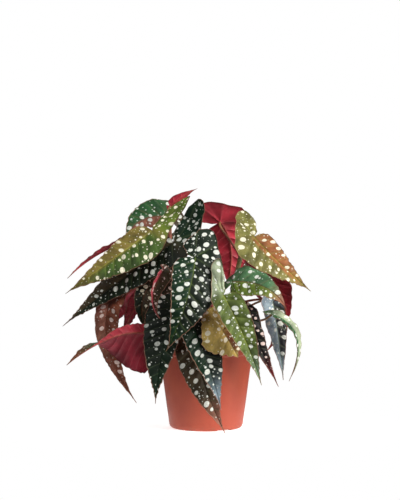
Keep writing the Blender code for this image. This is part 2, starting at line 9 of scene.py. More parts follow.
import bpy
import numpy as np
from bpy.props import FloatProperty, FloatVectorProperty, IntProperty, PointerProperty
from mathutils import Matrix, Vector


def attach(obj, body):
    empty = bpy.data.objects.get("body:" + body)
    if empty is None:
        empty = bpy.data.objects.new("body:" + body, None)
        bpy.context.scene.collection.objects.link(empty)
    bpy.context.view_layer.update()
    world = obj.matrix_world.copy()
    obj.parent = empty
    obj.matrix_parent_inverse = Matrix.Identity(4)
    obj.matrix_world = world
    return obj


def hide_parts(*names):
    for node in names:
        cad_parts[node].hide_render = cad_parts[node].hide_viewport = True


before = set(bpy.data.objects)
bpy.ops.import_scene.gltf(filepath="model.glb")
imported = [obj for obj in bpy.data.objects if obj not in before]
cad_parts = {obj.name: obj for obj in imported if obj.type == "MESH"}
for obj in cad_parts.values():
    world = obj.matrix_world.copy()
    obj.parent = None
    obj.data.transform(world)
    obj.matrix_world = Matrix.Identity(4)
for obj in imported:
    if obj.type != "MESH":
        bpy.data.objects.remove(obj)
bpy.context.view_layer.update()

bl_info = {
    "name": "Potted Polka Dot Begonia",
    "version": (1, 0, 0),
    "blender": (4, 5, 0),
    "location": "View3D > Sidebar > Begonia",
    "description": "A polka dot begonia in a plastic nursery pot, with a studio stage",
    "category": "Add Mesh",
}

MM = 0.001

VEIN_SLANT = 0.6               # how far a side vein runs forward for each unit out
VEIN_COS = 1 / np.hypot(1, VEIN_SLANT)

# Sizes that are the same in the frame
SOIL_LEVEL = 93 * MM           # the soil's height at the wall
SOIL_MOUND = 4 * MM            # how much higher the soil is in the middle
FRAME_BLADE = 0.8 * MM         # thickness of the frame's blades

# Foot, middle and top of each cane, in millimetres
Cane = namedtuple("Cane", "foot middle top")
CANES = {
    "cane_left": Cane((-20, -6, 0), (-27, -10, 155), (-44, -16, 226)),
    "cane_front": Cane((4, -18, 0), (3, -30, 150), (-6, -40, 222)),
    "cane_right": Cane((22, 2, 0), (30, 2, 150), (46, 8, 224)),
    "cane_back": Cane((-2, 26, 0), (-2, 45, 150), (-4, 62, 197)),
}

# Colours over a blade.  base: all of it; big, small: over that half; lobe: behind the stalk;
# tip: towards the point; rib: along the midrib; dots: the spots; under: the lower side, and
# under_small its small half; over: how far the small half's colour reaches over the midrib, in mm.
Paint = namedtuple("Paint", "base big small lobe tip rib dots under under_small over")


def paint(base, big=None, small=None, lobe=None, tip=None, rib=None, dots="white", under="wine",
          under_small=None, over=0):
    """One blade's colours by name; a colour left out is the base colour."""
    return Paint(base, big or base, small or base, lobe, tip, rib or base, dots, under,
                 under_small or under, over)


LEAF_FIELDS = ("name cane at node via tip face turn big small lobe full lean side fold curl nod wave "
               "phase slot paint shift")
Leaf = namedtuple("Leaf", LEAF_FIELDS)


def leaf(name, cane, at, node, via, tip, face, turn=None, big=30, small=24, lobe=40, full=1.0,
         lean=0.0, side=1, fold=(14, 14), curl=(6, 6), nod=8, wave=1.5, phase=0.0, slot="leaf_green",
         look=paint("green"), shift=(0, 0, 0)):
    """One row of the leaf table, lengths in millimetres, in the same words as the frame's source.
    shift moves a quilted blade a little, clear of a neighbour's stalk."""
    return Leaf("leaf_" + name, "cane_" + cane, at, node, via, tip, face, turn or face,
                big, small, lobe, full, lean, side, fold, curl, nod, wave, phase, slot, look, shift)


LEAVES = [
    leaf("upper_left", "left", 0.97, (-66, -40, 246), (-116, -60, 209), (-170, -66, 170),
         (-0.1, -0.75, 0.65), (-0.2, -0.85, 0.5), big=34, small=20, lobe=66, full=0.6, nod=-3,
         fold=(4, 8), slot="leaf_olive",
         look=paint("olive", big="fern", lobe="moss", tip="olive", rib="lime", dots="cream", over=3)),
    # upper_left_under: the brighter red of its lower side is painted light shining through the thin
    # blade.
    leaf("upper_left_under", "left", 0.9, (-72, -6, 238), (-124, -28, 222), (-170, -42, 188),
         (-0.2, 0.2, 0.95), (-0.2, 0.25, 0.93), big=24, small=20, lobe=18, side=-1,
         look=paint("green", under="crimson")),
    leaf("crown_left", "left", 0.99, (-46, 14, 262), (-80, 0, 259), (-101, -12, 234),
         (-0.25, -0.8, 0.6), (-0.5, -0.8, 0.2), big=28, small=28, lobe=30, side=-1, slot="leaf_dark",
         look=paint("umber", big="green", small="brown", rib="rust")),
    leaf("crown_young", "left", 1.0, (-44, -14, 276), (-29, -20, 288), (-11, -22, 298), (0.5, 0.6, 0.6),
         big=8, small=8, lobe=6, fold=(4, 4), wave=0.5, slot="leaf_red",
         look=paint("crimson", under="crimson", dots="crimson")),
    leaf("left_long", "front", 0.96, (-40, -40, 232), (-104, -40, 186), (-176, -38, 129),
         (-0.1, -0.8, 0.6), (-0.3, -0.8, 0.5), big=32, small=26, lobe=62, full=1.1, lean=-0.3, nod=-6,
         slot="leaf_dark", look=paint("umber", big="dark", lobe="forest")),
    # front_large: its big half is grey green with a painted sheen.
    leaf("front_large", "front", 1.0, (-13, -86, 214), (-24, -112, 161), (-48, -104, 103),
         (0.0, -0.95, 0.3), (-0.1, -0.98, 0.1), big=38, small=26, lobe=42, full=0.95, lean=0.4, nod=-4,
         fold=(0, 10), curl=(8, 6), slot="leaf_dark",
         look=paint("dark", big="dusk", small="forest", tip="forest", rib="moss")),
    # front_left_low: its big half is grey green with a painted sheen.
    leaf("front_left_low", "front", 0.5, (-40, -65, 154), (-53, -85, 101), (-61, -78, 38),
         (-0.15, -0.95, 0.3), (-0.1, -1.0, -0.1), small=20, lobe=26, side=-1, fold=(14, 0),
         slot="leaf_dark", look=paint("dark", big="dusk", tip="forest")),
    # front_low: painted shade round its stalk, grey green with a painted sheen on its big half, and a
    # painted bluish-grey sheen at its tip.
    leaf("front_low", "front", 0.42, (-16, -82, 140), (3, -105, 90), (19, -103, 34), (0.1, -0.95, 0.3),
         (0.1, -1.0, 0.0), big=27, small=20, lobe=22, fold=(-4, 10), slot="leaf_dark",
         shift=(-1.2, -0.1, -0.4),
         look=paint("ink", big="dusk", small="forest", lobe="ink", tip="slate")),
    leaf("front_lowest", "front", 0.3, (-15, -64, 116), (-2, -84, 61), (23, -92, 4), (0.1, -0.95, 0.3),
         (0.1, -1.0, 0.0), big=26, lobe=18, side=-1, slot="leaf_brown",
         look=paint("umber", tip="brown")),
    leaf("front_scalloped", "right", 0.3, (19, -100, 128), (30, -101, 110), (38, -96, 95),
         (0.1, -0.97, 0.25), small=20, lobe=36, side=-1, wave=1.6, fold=(4, 4), slot="leaf_olive",
         look=paint("ochre", small="rust", lobe="ochre", tip="ochre", dots="cream", rib="olive")),
    # right_bright: a painted silvery sheen over its lobe and towards its tip.
    leaf("right_bright", "front", 0.5, (20, -108, 170), (45, -122, 119), (65, -112, 64),
         (0.1, -0.95, 0.3), (0.15, -1.0, 0.0), big=18, small=20, lobe=44, lean=-0.4, side=-1, nod=-8,
         slot="leaf_bright", look=paint("bright", lobe="pale", tip="mint", rib="lime")),
    leaf("right_front", "right", 0.62, (32, -60, 184), (70, -80, 178), (96, -84, 152), (0.1, -0.7, 0.7),
         (0.4, -0.75, 0.5), big=24, lobe=14, fold=(18, 0), slot="leaf_brown",
         look=paint("sage", small="moss", tip="brown", rib="rust")),
    leaf("upper_right", "right", 0.97, (59, -22, 238), (90, -38, 206), (128, -44, 172),
         (0.15, -0.8, 0.6), (0.2, -0.85, 0.5), big=36, small=18, lobe=44, full=0.8, lean=-0.4, side=-1,
         nod=2, slot="leaf_olive",
         look=paint("straw", small="bronze", lobe="straw", tip="olive", rib="lime", dots="cream",
                    over=7)),
    # crown_back: the brighter red of its lower side is painted light shining through the thin blade.
    leaf("crown_back", "right", 0.93, (18, 22, 256), (32, 38, 222), (27, 46, 172), (0.0, 0.85, 0.5),
         (0.0, 1.0, 0.1), big=36, small=34, lobe=38, side=-1, nod=0,
         look=paint("green", under="crimson")),
    # right_red: the brighter red of its lower side is painted light shining through the thin blade.
    leaf("right_red", "right", 0.62, (60, -8, 196), (90, -18, 178), (101, -20, 122), (0.2, 0.5, 0.85),
         (0.9, 0.45, 0.1), big=26, small=22, lobe=10, side=-1, look=paint("green", under="crimson")),
    # right_folded: a painted bluish-grey sheen on its big half and tip, painted shade on its small half,
    # and silvery green, partly a painted sheen, along its midrib.
    leaf("right_folded", "right", 0.5, (81, -48, 160), (88, -58, 112), (94, -54, 64), (0.3, -0.9, 0.3),
         (0.4, -0.9, 0.0), big=17, small=14, lobe=18, side=-1, fold=(18, 18), slot="leaf_slate",
         look=paint("slate", small="ink", tip="slate", rib="pale")),
    leaf("right_strap", "right", 0.42, (79, -74, 146), (109, -80, 118), (100, -76, 65),
         (0.7, -0.5, 0.5), (0.9, -0.4, -0.2), big=11, small=10, lobe=12, fold=(8, 8), wave=0.6,
         look=paint("sage", big="pale", small="green", rib="pale")),
    # right_inner: near-black painted shade over the blade, which hangs deep in the plant's shade.
    leaf("right_inner", "right", 0.3, (50, -70, 150), (64, -76, 108), (88, -62, 57), (0.2, -0.9, 0.4),
         (0.6, -0.8, 0.0), big=12, small=11, lobe=14, slot="leaf_dark",
         look=paint("ink", tip="wine", dots="blush")),
    leaf("left_drooping", "left", 0.78, (-104, -28, 182), (-122, -46, 118), (-85, -38, 34),
         (-0.5, -0.8, 0.4), (-0.1, -1.0, -0.1), big=22, small=16, lobe=16, slot="leaf_brown",
         look=paint("brown", big="rust", lobe="olive", tip="rust", dots="blush")),
    leaf("left_red", "left", 0.58, (-60, -14, 176), (-86, -34, 154), (-101, -52, 114),
         (-0.3, 0.55, 0.8), (-0.8, 0.6, 0.1), big=24, small=22, lobe=12, side=-1),
    # left_low_turned: the brighter red on the small half's lower side is painted light on the fold that
    # turns up towards the light.
    leaf("left_low_turned", "front", 0.22, (-62, -56, 119), (-111, -80, 119), (-167, -86, 86),
         (0.1, 0.97, -0.1), (0.2, -0.3, 0.93), big=49, small=12, lobe=7, side=-1, fold=(10, 10),
         wave=0.6, look=paint("green", tip="rust", dots="blush", under_small="crimson")),
    leaf("left_spotted", "left", 0.46, (-67, -44, 182), (-78, -56, 155), (-72, -50, 122),
         (-0.2, -0.9, 0.3), (-0.1, -1.0, 0.0), big=17, small=13, lobe=14, fold=(-4, 12),
         slot="leaf_brown", look=paint("umber", small="dark", tip="forest", rib="rust", dots="cream")),
    leaf("left_inner", "front", 0.58, (-44, -30, 190), (-54, -42, 158), (-56, -42, 122),
         (-0.1, -0.95, 0.3), big=23, small=14, lobe=14, fold=(-5, 5), slot="leaf_brown",
         look=paint("umber", small="dark", dots="blush")),
    leaf("front_young", "front", 0.62, (-52, -78, 197), (-64, -88, 168), (-55, -82, 141),
         (0.3, -0.9, 0.2), (0.3, -0.9, 0.0), big=14, small=12, lobe=10, fold=(14, 60), curl=(6, -6),
         wave=0.4, slot="leaf_red", look=paint("umber", small="rose", under="rose", dots="blush")),
    leaf("back_left", "back", 0.8, (-48, 68, 216), (-90, 88, 190), (-116, 96, 138), (-0.5, 0.5, 0.7),
         (-0.7, 0.6, 0.3), big=32, small=25, lobe=33, phase=0.6, slot="leaf_dark",
         look=paint("dark", big="forest")),
    leaf("back_right", "back", 0.88, (56, 70, 206), (86, 90, 180), (100, 100, 126), (0.4, 0.5, 0.75),
         (0.7, 0.6, 0.3), big=32, small=25, lobe=28, side=-1, slot="leaf_olive",
         look=paint("olive", big="moss", dots="cream")),
    leaf("back_middle", "back", 0.7, (0, 84, 188), (-2, 108, 150), (-10, 112, 92), (0.0, 0.9, 0.45),
         (0.0, 1.0, 0.1), big=34, small=26, lobe=16, slot="leaf_dark",
         look=paint("forest", big="dark")),
    leaf("back_low_left", "back", 0.45, (-42, 66, 146), (-66, 88, 110), (-76, 92, 60),
         (-0.4, 0.8, 0.45), (-0.5, 0.9, 0.0), big=28, small=22, lobe=30, side=-1, slot="leaf_brown",
         look=paint("brown", dots="blush")),
    leaf("back_low_right", "back", 0.52, (40, 66, 148), (56, 92, 110), (58, 98, 58), (0.4, 0.8, 0.45),
         (0.4, 0.9, 0.0), big=28, small=22, lobe=30, slot="leaf_dark",
         look=paint("dark", small="forest")),
    leaf("side_left", "left", 0.72, (-70, 16, 182), (-110, 14, 154), (-126, 10, 102), (-0.2, 0.5, 0.85),
         (-0.4, 0.9, 0.1), big=28, small=22, lobe=20, side=-1, slot="leaf_dark",
         look=paint("dark", big="forest", tip="umber")),
    leaf("side_right", "right", 0.72, (66, 34, 184), (90, 44, 154), (96, 46, 104), (0.7, 0.3, 0.7),
         (0.95, 0.3, 0.2), big=26, small=22, lobe=26, slot="leaf_dark",
         look=paint("forest", small="dark")),
    leaf("crown_back_left", "left", 0.94, (-36, 30, 240), (-50, 54, 238), (-64, 80, 221),
         (-0.3, 0.25, 0.9), (-0.4, 0.6, 0.7), big=26, small=20, lobe=20, side=-1,
         look=paint("green", small="moss")),
    leaf("side_left_upper", "left", 0.84, (-66, 6, 218), (-96, 18, 200), (-116, 20, 158),
         (-0.5, 0.3, 0.8), (-0.85, 0.4, 0.3), big=26, small=20, lobe=24, slot="leaf_brown",
         look=paint("brown", big="umber", dots="blush")),
    leaf("side_right_lower", "right", 0.24, (72, 12, 158), (88, 10, 126), (75, 2, 92), (0.9, 0.1, 0.4),
         (0.9, 0.5, -0.1), big=22, small=18, lobe=18, look=paint("green", small="dark")),
    leaf("crown_middle", "back", 0.96, (-5, 30, 212), (-11, 8, 223), (-12, -14, 208), (0.0, -0.3, 0.9),
         (0.0, -0.6, 0.7), big=14, small=12, lobe=12, slot="leaf_bright",
         look=paint("bright", small="moss", dots="cream")),
    leaf("back_low_middle", "back", 0.36, (0, 68, 128), (4, 84, 90), (14, 84, 38), (0.0, 0.9, 0.4),
         (0.0, 1.0, 0.0), big=25, small=20, lobe=12, side=-1, slot="leaf_dark",
         look=paint("dark", big="forest")),
]


def tint(red, green, blue):
    """A screen colour, 0 to 255 a channel, as a linear colour."""
    c = np.array((red, green, blue)) / 255
    return tuple(np.where(c <= 0.04045, c / 12.92, ((c + 0.055) / 1.055) ** 2.4))


# ---------------------------------------------------------------- settings

def length(name, default, description):
    """A size that a user can change; its default is in millimetres."""
    return FloatProperty(name=name, description=description, default=default * MM, min=0.0,
                         unit="LENGTH", precision=5)


def power(name, default, description):
    """The power of a light, in watts."""
    return FloatProperty(name=name, description=description, default=default, min=0.0, unit="POWER")


def colour(name, default, description):
    """A colour that a user can change; its default is a screen colour."""
    return FloatVectorProperty(name=name, description=description, default=tint(*default), min=0.0,
                               max=1.0, size=3, subtype="COLOR")


class BegoniaBladeSettings(bpy.types.PropertyGroup):
    """Sizes and colours of the leaf blades."""
    thickness: length("Thickness", 0.7, "Thickness of a leaf blade")
    tooth: length("Tooth height", 0.8, "How far the small teeth of the edge stand out")
    tooth_pitch: length("Tooth pitch", 6.5, "Distance from one tooth of the edge to the next")
    vein_pitch: length("Vein pitch", 12, "Distance between side veins, measured on the midrib")
    groove: length("Vein groove", 0.6, "Depth of the side veins on the upper side")
    quilt: length("Quilting", 0.8, "How far the blade swells between two side veins")
    pucker: length("Rim ripple", 0.5, "How far the rim rises at each side vein")
    rib: length("Midrib", 0.8, "How far the midrib stands out of the lower side")
    dot_pitch: length("Dot pitch", 12.0, "Distance between neighbouring large dots")
    dot_small: length("Smallest large dot", 1.8, "Radius of the smallest large dot")
    dot_large: length("Largest large dot", 3.3, "Radius of the largest large dot")
    speck_pitch: length("Speck pitch", 4.6, "Distance between neighbouring specks")
    speck_large: length("Largest speck", 0.8, "Radius of the largest speck")
    dark: colour("Dark", (16, 32, 18), "Dark green blades")
    forest: colour("Forest", (12, 44, 24), "Deep green halves")
    green: colour("Green", (40, 84, 46), "Green blades")
    moss: colour("Moss", (96, 116, 40), "Yellowish green")
    sage: colour("Sage", (76, 116, 78), "Greyish green")
    bright: colour("Bright", (92, 108, 50), "Young green blades")
    lime: colour("Lime", (158, 166, 62), "Light midribs")
    # Pale: silvery green, partly the blades' own colour and partly a painted sheen.
    pale: colour("Pale", (172, 184, 152), "Silvery green")
    olive: colour("Olive", (124, 108, 52), "Olive blades")
    ochre: colour("Ochre", (196, 168, 92), "Ochre blades")
    straw: colour("Straw", (126, 122, 68), "Yellow green blades")
    bronze: colour("Bronze", (156, 96, 58), "Orange brown halves")
    brown: colour("Brown", (150, 94, 78), "Brown blades")
    umber: colour("Umber", (68, 56, 38), "Dark brown blades")
    # Ink: near-black painted shade, for blades and parts of blades that lie deep in the plant's shade.
    ink: colour("Ink", (22, 15, 17), "Nearly black blades")
    # Dusk: grey green with a painted sheen, for the glossy halves of dark blades.
    dusk: colour("Dusk", (23, 31, 23), "Grey green halves")
    # Slate: a painted bluish-grey sheen, where the glossy dark blades catch the light.
    slate: colour("Slate", (140, 158, 170), "Blue grey blades")
    # Mint: a painted silvery sheen towards the end of a young blade.
    mint: colour("Mint", (132, 160, 134), "Silvery green ends of young blades")
    rust: colour("Rust", (132, 72, 52), "Reddish brown ends")
    fern: colour("Fern", (62, 90, 36), "Fresh green halves")
    # Crimson: a young blade's own red, and on lower sides painted light shining through the thin blade.
    crimson: colour("Crimson", (182, 48, 64), "Brighter lower sides")
    rose: colour("Rose", (216, 82, 102), "Young red blades")
    wine: colour("Wine", (142, 30, 48), "Lower sides")
    rim: colour("Rim", (166, 118, 98), "Thin edge line")
    white: colour("White dots", (224, 228, 218), "Dots of green blades")
    cream: colour("Cream dots", (244, 238, 212), "Dots of olive blades")
    blush: colour("Blush dots", (240, 216, 206), "Dots of brown blades")


class BegoniaCaneSettings(bpy.types.PropertyGroup):
    """Sizes and colours of the canes and leaf stalks."""
    foot: length("Foot radius", 4.6, "Radius of a cane at the soil")
    top: length("Top radius", 2.6, "Radius of a cane at its top")
    swelling: length("Swelling", 0.9, "How far a joint of a cane stands out")
    stalk: length("Stalk radius", 1.7, "Radius of a leaf stalk at the cane")
    stalk_end: length("Stalk end radius", 1.25, "Radius of a leaf stalk at its blade")
    sides: IntProperty(name="Sides", description="Sides of a cane", default=28, min=8, max=96)
    bark: colour("Cane", (126, 104, 66), "Lower part of a cane")
    bark_top: colour("Cane top", (120, 120, 62), "Young top of a cane")
    ring: colour("Ring", (92, 66, 48), "Scars round the joints")
    stalk_base: colour("Stalk", (150, 74, 62), "Leaf stalks")
    stalk_tip: colour("Stalk end", (142, 116, 68), "Leaf stalks next to the blade")


class BegoniaPotSettings(bpy.types.PropertyGroup):
    """Sizes and colours of the nursery pot."""
    height: length("Height", 106, "Height of the pot")
    foot: length("Foot radius", 45.5, "Radius of the pot at its foot")
    rim: length("Rim radius", 61, "Radius of the pot at its rim")
    band: length("Rim band", 14, "Height of the thickened band under the rim")
    wall: length("Wall", 1.6, "Thickness of the wall")
    floor: length("Floor", 2, "Thickness of the bottom")
    channel: length("Channel", 3, "How far the drainage channel is raised")
    pad: length("Pad radius", 17, "Radius of the flat disc in the middle of the underside")
    notch_width: length("Notch width", 22, "Width of a notch in the foot")
    notch_depth: length("Notch depth", 1.6, "Height of a notch in the foot")
    hole: length("Drain hole radius", 4, "Radius of a drain hole")
    sides: IntProperty(name="Sides", description="Sides of the pot", default=240, min=32, max=512)
    plastic: colour("Plastic", (172, 72, 43), "Terracotta coloured plastic")
    plastic_deep: colour("Deep plastic", (148, 50, 36), "Denser streaks of the plastic")
    dust: colour("Dust", (120, 92, 72), "Soil dust at the rim and the foot")


class BegoniaSoilSettings(bpy.types.PropertyGroup):
    """Sizes and colours of the potting soil."""
    relief: length("Relief", 1.4, "Height of the clods")
    crumbs: IntProperty(name="Crumbs", description="Loose crumbs on the soil", default=420, min=0)
    crumb: length("Crumb", 1.7, "Radius of a large crumb")
    peat: colour("Peat", (58, 44, 34), "Dark peat")
    fibre: colour("Fibre", (108, 82, 58), "Dry fibres")
    perlite: colour("Perlite", (226, 222, 210), "White perlite")
    bark: colour("Bark", (96, 62, 40), "Bark chips")


class BegoniaStageSettings(bpy.types.PropertyGroup):
    """The studio floor, lights and camera."""
    floor: colour("Floor", (246, 246, 244), "Pale floor")
    key: power("Key light", 30.0, "Power of the large front light")
    fill: power("Fill light", 9.0, "Power of the light on the left")
    back: power("Back light", 10.0, "Power of the light behind")
    side: power("Side light", 6.0, "Power of the low light on the right")
    room: FloatProperty(name="Room light", description="Strength of the light all round", default=0.22,
                        min=0.0)
    camera_distance: length("Camera distance", 1800, "How far in front of the plant the camera stands")
    camera_height: length("Camera height", 250, "Height of the camera")
    aim_height: length("Aim height", 221.5, "Height of the point that the camera looks at")
    lens: FloatProperty(name="Lens", description="Focal length", default=103.68, min=10.0,
                        subtype="DISTANCE_CAMERA")


# ---------------------------------------------------------------- curves and meshes

def unit(v):
    """The vectors v at length 1, along the last axis."""
    v = np.asarray(v, float)
    return v / np.maximum(np.linalg.norm(v, axis=-1, keepdims=True), 1e-12)


def ease(low, high, value):
    """0 below low, 1 above high, and a smooth S between them."""
    t = np.clip((value - low) / (high - low), 0, 1)
    return t * t * (3 - 2 * t)


def blend(one, two, share):
    """one where share is 0, two where it is 1, for colours and points."""
    share = np.asarray(share)[..., None]
    return np.asarray(one) * (1 - share) + np.asarray(two) * share


def bell(value, width):
    """A bell curve: 1 at 0, and exp(-1) at the width."""
    return np.exp(-(value / width) ** 2)


def distances(points):
    """Distance of each point of a path from its start, along the path."""
    return np.concatenate([[0], np.cumsum(np.linalg.norm(np.diff(points, axis=0), axis=1))])


def parabola(one, control, two, t):
    """A quadratic curve from one to two, drawn towards control, at the shares t."""
    return (1 - t) ** 2 * one + 2 * t * (1 - t) * control + t ** 2 * two


def circle(sides):
    """The angles of a circle's points."""
    return np.arange(sides) * 2 * pi / sides


def along_path(path, at):
    """Points of a path at positions counted in path points, straight between them."""
    steps = np.arange(len(path))
    return np.stack([np.interp(at, steps, path[:, k]) for k in range(path.shape[1])], axis=-1)


def smooth_through(points, count):
    """count points, evenly spaced along a Catmull-Rom curve through the given flat points."""
    p = np.asarray(points, float)
    ends = np.vstack([2 * p[0] - p[1], p, 2 * p[-1] - p[-2]])
    t = np.linspace(0, 1, 24, endpoint=False)[:, None]
    a, b, c, d = (ends[k:len(ends) - 3 + k, None] for k in range(4))
    curve = 0.5 * (2 * b + (c - a) * t + (2 * a - 5 * b + 4 * c - d) * t ** 2
                   + (3 * b - a - 3 * c + d) * t ** 3)
    curve = np.vstack([curve.reshape(-1, p.shape[1]), p[-1:]])
    along = distances(curve)
    at = np.linspace(0, along[-1], count)
    return np.stack([np.interp(at, along, curve[:, k]) for k in range(p.shape[1])], axis=1)


def waves(points, size, seed, count=24):
    """A smooth random field round 0, mostly between -1 and 1: the sum of count sine waves in random
    directions, about size metres from crest to crest, divided by the square root of twice count."""
    random = np.random.default_rng(seed)
    way = unit(random.normal(size=(count, points.shape[-1])))
    beat = 2 * pi / (size * random.uniform(0.6, 1.6, count))
    return np.sin(points @ (way * beat[:, None]).T + random.uniform(0, 2 * pi, count)).sum(-1) \
        / np.sqrt(count / 2) / 2


def mesh_object(name, points, faces, looks, look_index=None, sharp=None):
    """A smooth-shaded object from arrays: points (n, 3) and faces, a list of (m, 3) or (m, 4) arrays.
    look_index gives each face's material, and sharp the angle in degrees above which edges are sharp."""
    mesh = bpy.data.meshes.new(name)
    corners = np.concatenate([np.asarray(f).ravel() for f in faces])
    sizes = np.concatenate([np.full(len(f), f.shape[1]) for f in faces])
    mesh.vertices.add(len(points))
    mesh.vertices.foreach_set("co", np.asarray(points, np.float32).ravel())
    mesh.loops.add(len(corners))
    mesh.loops.foreach_set("vertex_index", corners.astype(np.int32))
    mesh.polygons.add(len(sizes))
    starts = np.concatenate([[0], np.cumsum(sizes)[:-1]])
    mesh.polygons.foreach_set("loop_start", starts.astype(np.int32))
    mesh.polygons.foreach_set("loop_total", sizes.astype(np.int32))
    if look_index is not None:
        mesh.polygons.foreach_set("material_index", np.asarray(look_index, np.int32))
    mesh.update(calc_edges=True)
    mesh.shade_smooth()
    if sharp is not None:
        mesh.set_sharp_from_angle(angle=radians(sharp))
    for look in looks:
        mesh.materials.append(look)
    if mesh.validate():
        raise RuntimeError(name + " has faulty faces")
    made = bpy.data.objects.new(name, mesh)
    bpy.context.scene.collection.objects.link(made)
    return made


def add_colour(made, name, values):
    """A colour attribute, one linear colour a point."""
    layer = made.data.attributes.new(name, "FLOAT_COLOR", "POINT")
    values = np.column_stack([values, np.ones(len(values))])
    layer.data.foreach_set("color", values.astype(np.float32).ravel())


def add_value(made, name, values):
    """A number attribute, one value a point."""
    layer = made.data.attributes.new(name, "FLOAT", "POINT")
    layer.data.foreach_set("value", np.asarray(values, np.float32))


def add_map(made, name, values):
    """A UV map with one pair of numbers a point, or one a corner."""
    layer = made.data.uv_layers.new(name=name, do_init=False)
    if len(values) == len(made.data.vertices):
        corner = np.zeros(len(made.data.loops), np.int32)
        made.data.loops.foreach_get("vertex_index", corner)
        values = values[corner]
    layer.uv.foreach_set("vector", np.asarray(values, np.float32).ravel())


def grid_faces(rows, columns, start=0, wrap=False):
    """Four-cornered faces of a grid of points numbered row by row; wrap joins the last column to
    the first."""
    k = np.arange(rows - 1)[:, None]
    j = np.arange(columns if wrap else columns - 1)[None, :]
    after = (j + 1) % columns
    quads = np.stack([k * columns + j, k * columns + after, (k + 1) * columns + after,
                      (k + 1) * columns + j], axis=-1)
    return quads.reshape(-1, 4) + start


def fan_faces(hub, first, second):
    """Triangles from the point hub to each pair of first and second."""
    return np.stack([np.full(len(first), hub), first, second], axis=-1)


def tube(path, radii, sides):
    """A round tube: a circle of the given radius is carried along the path, at right angles to it,
    without twist, and both ends are closed by a low dome with a point."""
    path = np.asarray(path, float)
    ahead = unit(np.gradient(path, axis=0))
    side = [unit(np.cross(ahead[0], (0.31, 0.87, 0.38)))]
    for way in ahead[1:]:
        side.append(unit(side[-1] - way * np.dot(side[-1], way)))
    side = np.array(side)
    other = np.cross(ahead, side)
    turn = circle(sides)
    radii = np.asarray(radii, float)[:, None, None]
    rings = path[:, None] + radii * (np.cos(turn)[None, :, None] * side[:, None]
                                     + np.sin(turn)[None, :, None] * other[:, None])
    low_dome = path[0] + 0.7 * (rings[0] - path[0]) - ahead[0] * radii[0, 0] * 0.25
    high_dome = path[-1] + 0.7 * (rings[-1] - path[-1]) + ahead[-1] * radii[-1, 0] * 0.25
    points = np.vstack([rings.reshape(-1, 3), low_dome, path[:1] - ahead[:1] * radii[0] * 0.35,
                        high_dome, path[-1:] + ahead[-1:] * radii[-1] * 0.35])
    count = len(path) * sides
    faces = [grid_faces(len(path), sides, 0, True)]
    j = np.arange(sides)
    after = (j + 1) % sides
    low, high = count, count + sides + 1
    end = count - sides
    faces.append(np.stack([low + j, low + after, after, j], -1))
    faces.append(np.stack([end + j, end + after, high + after, high + j], -1))
    fans = np.vstack([fan_faces(low + sides, low + after, low + j),
                      fan_faces(high + sides, high + j, high + after)])
    return points, np.vstack(faces), fans


def turned(profile, sides):
    """A solid turned about Z from a closed (radius, height) loop that starts and ends on the axis:
    every other profile point becomes a circle, and the two ends are points."""
    ring = np.asarray(profile[1:-1], float)
    turn = circle(sides)
    points = np.stack([ring[:, :1] * np.cos(turn), ring[:, :1] * np.sin(turn),
                       np.repeat(ring[:, 1:], sides, axis=1)], axis=-1).reshape(-1, 3)
    points = np.vstack([points, (0, 0, profile[0][1]), (0, 0, profile[-1][1])])
    quads = grid_faces(len(ring), sides, 0, True)
    j = np.arange(sides)
    after = (j + 1) % sides
    end = (len(ring) - 1) * sides
    fans = np.vstack([fan_faces(len(points) - 2, after, j),
                      fan_faces(len(points) - 1, end + j, end + after)])
    return points, quads, fans


def rounded(profile, radius, steps=4):
    """The profile with each corner replaced by a quadratic curve that starts and ends at most radius
    from the corner."""
    p = np.asarray(profile, float)
    made = [p[0]]
    t = np.linspace(0, 1, steps + 1)[:, None]
    for before, corner, after in zip(p, p[1:], p[2:]):
        reach_in = min(radius, 0.45 * np.linalg.norm(corner - before))
        reach_out = min(radius, 0.45 * np.linalg.norm(after - corner))
        one = corner + unit(before - corner) * reach_in
        two = corner + unit(after - corner) * reach_out
        made.extend(parabola(one, corner, two, t))
    made.append(p[-1])
    return np.array(made)


# ---------------------------------------------------------------- materials

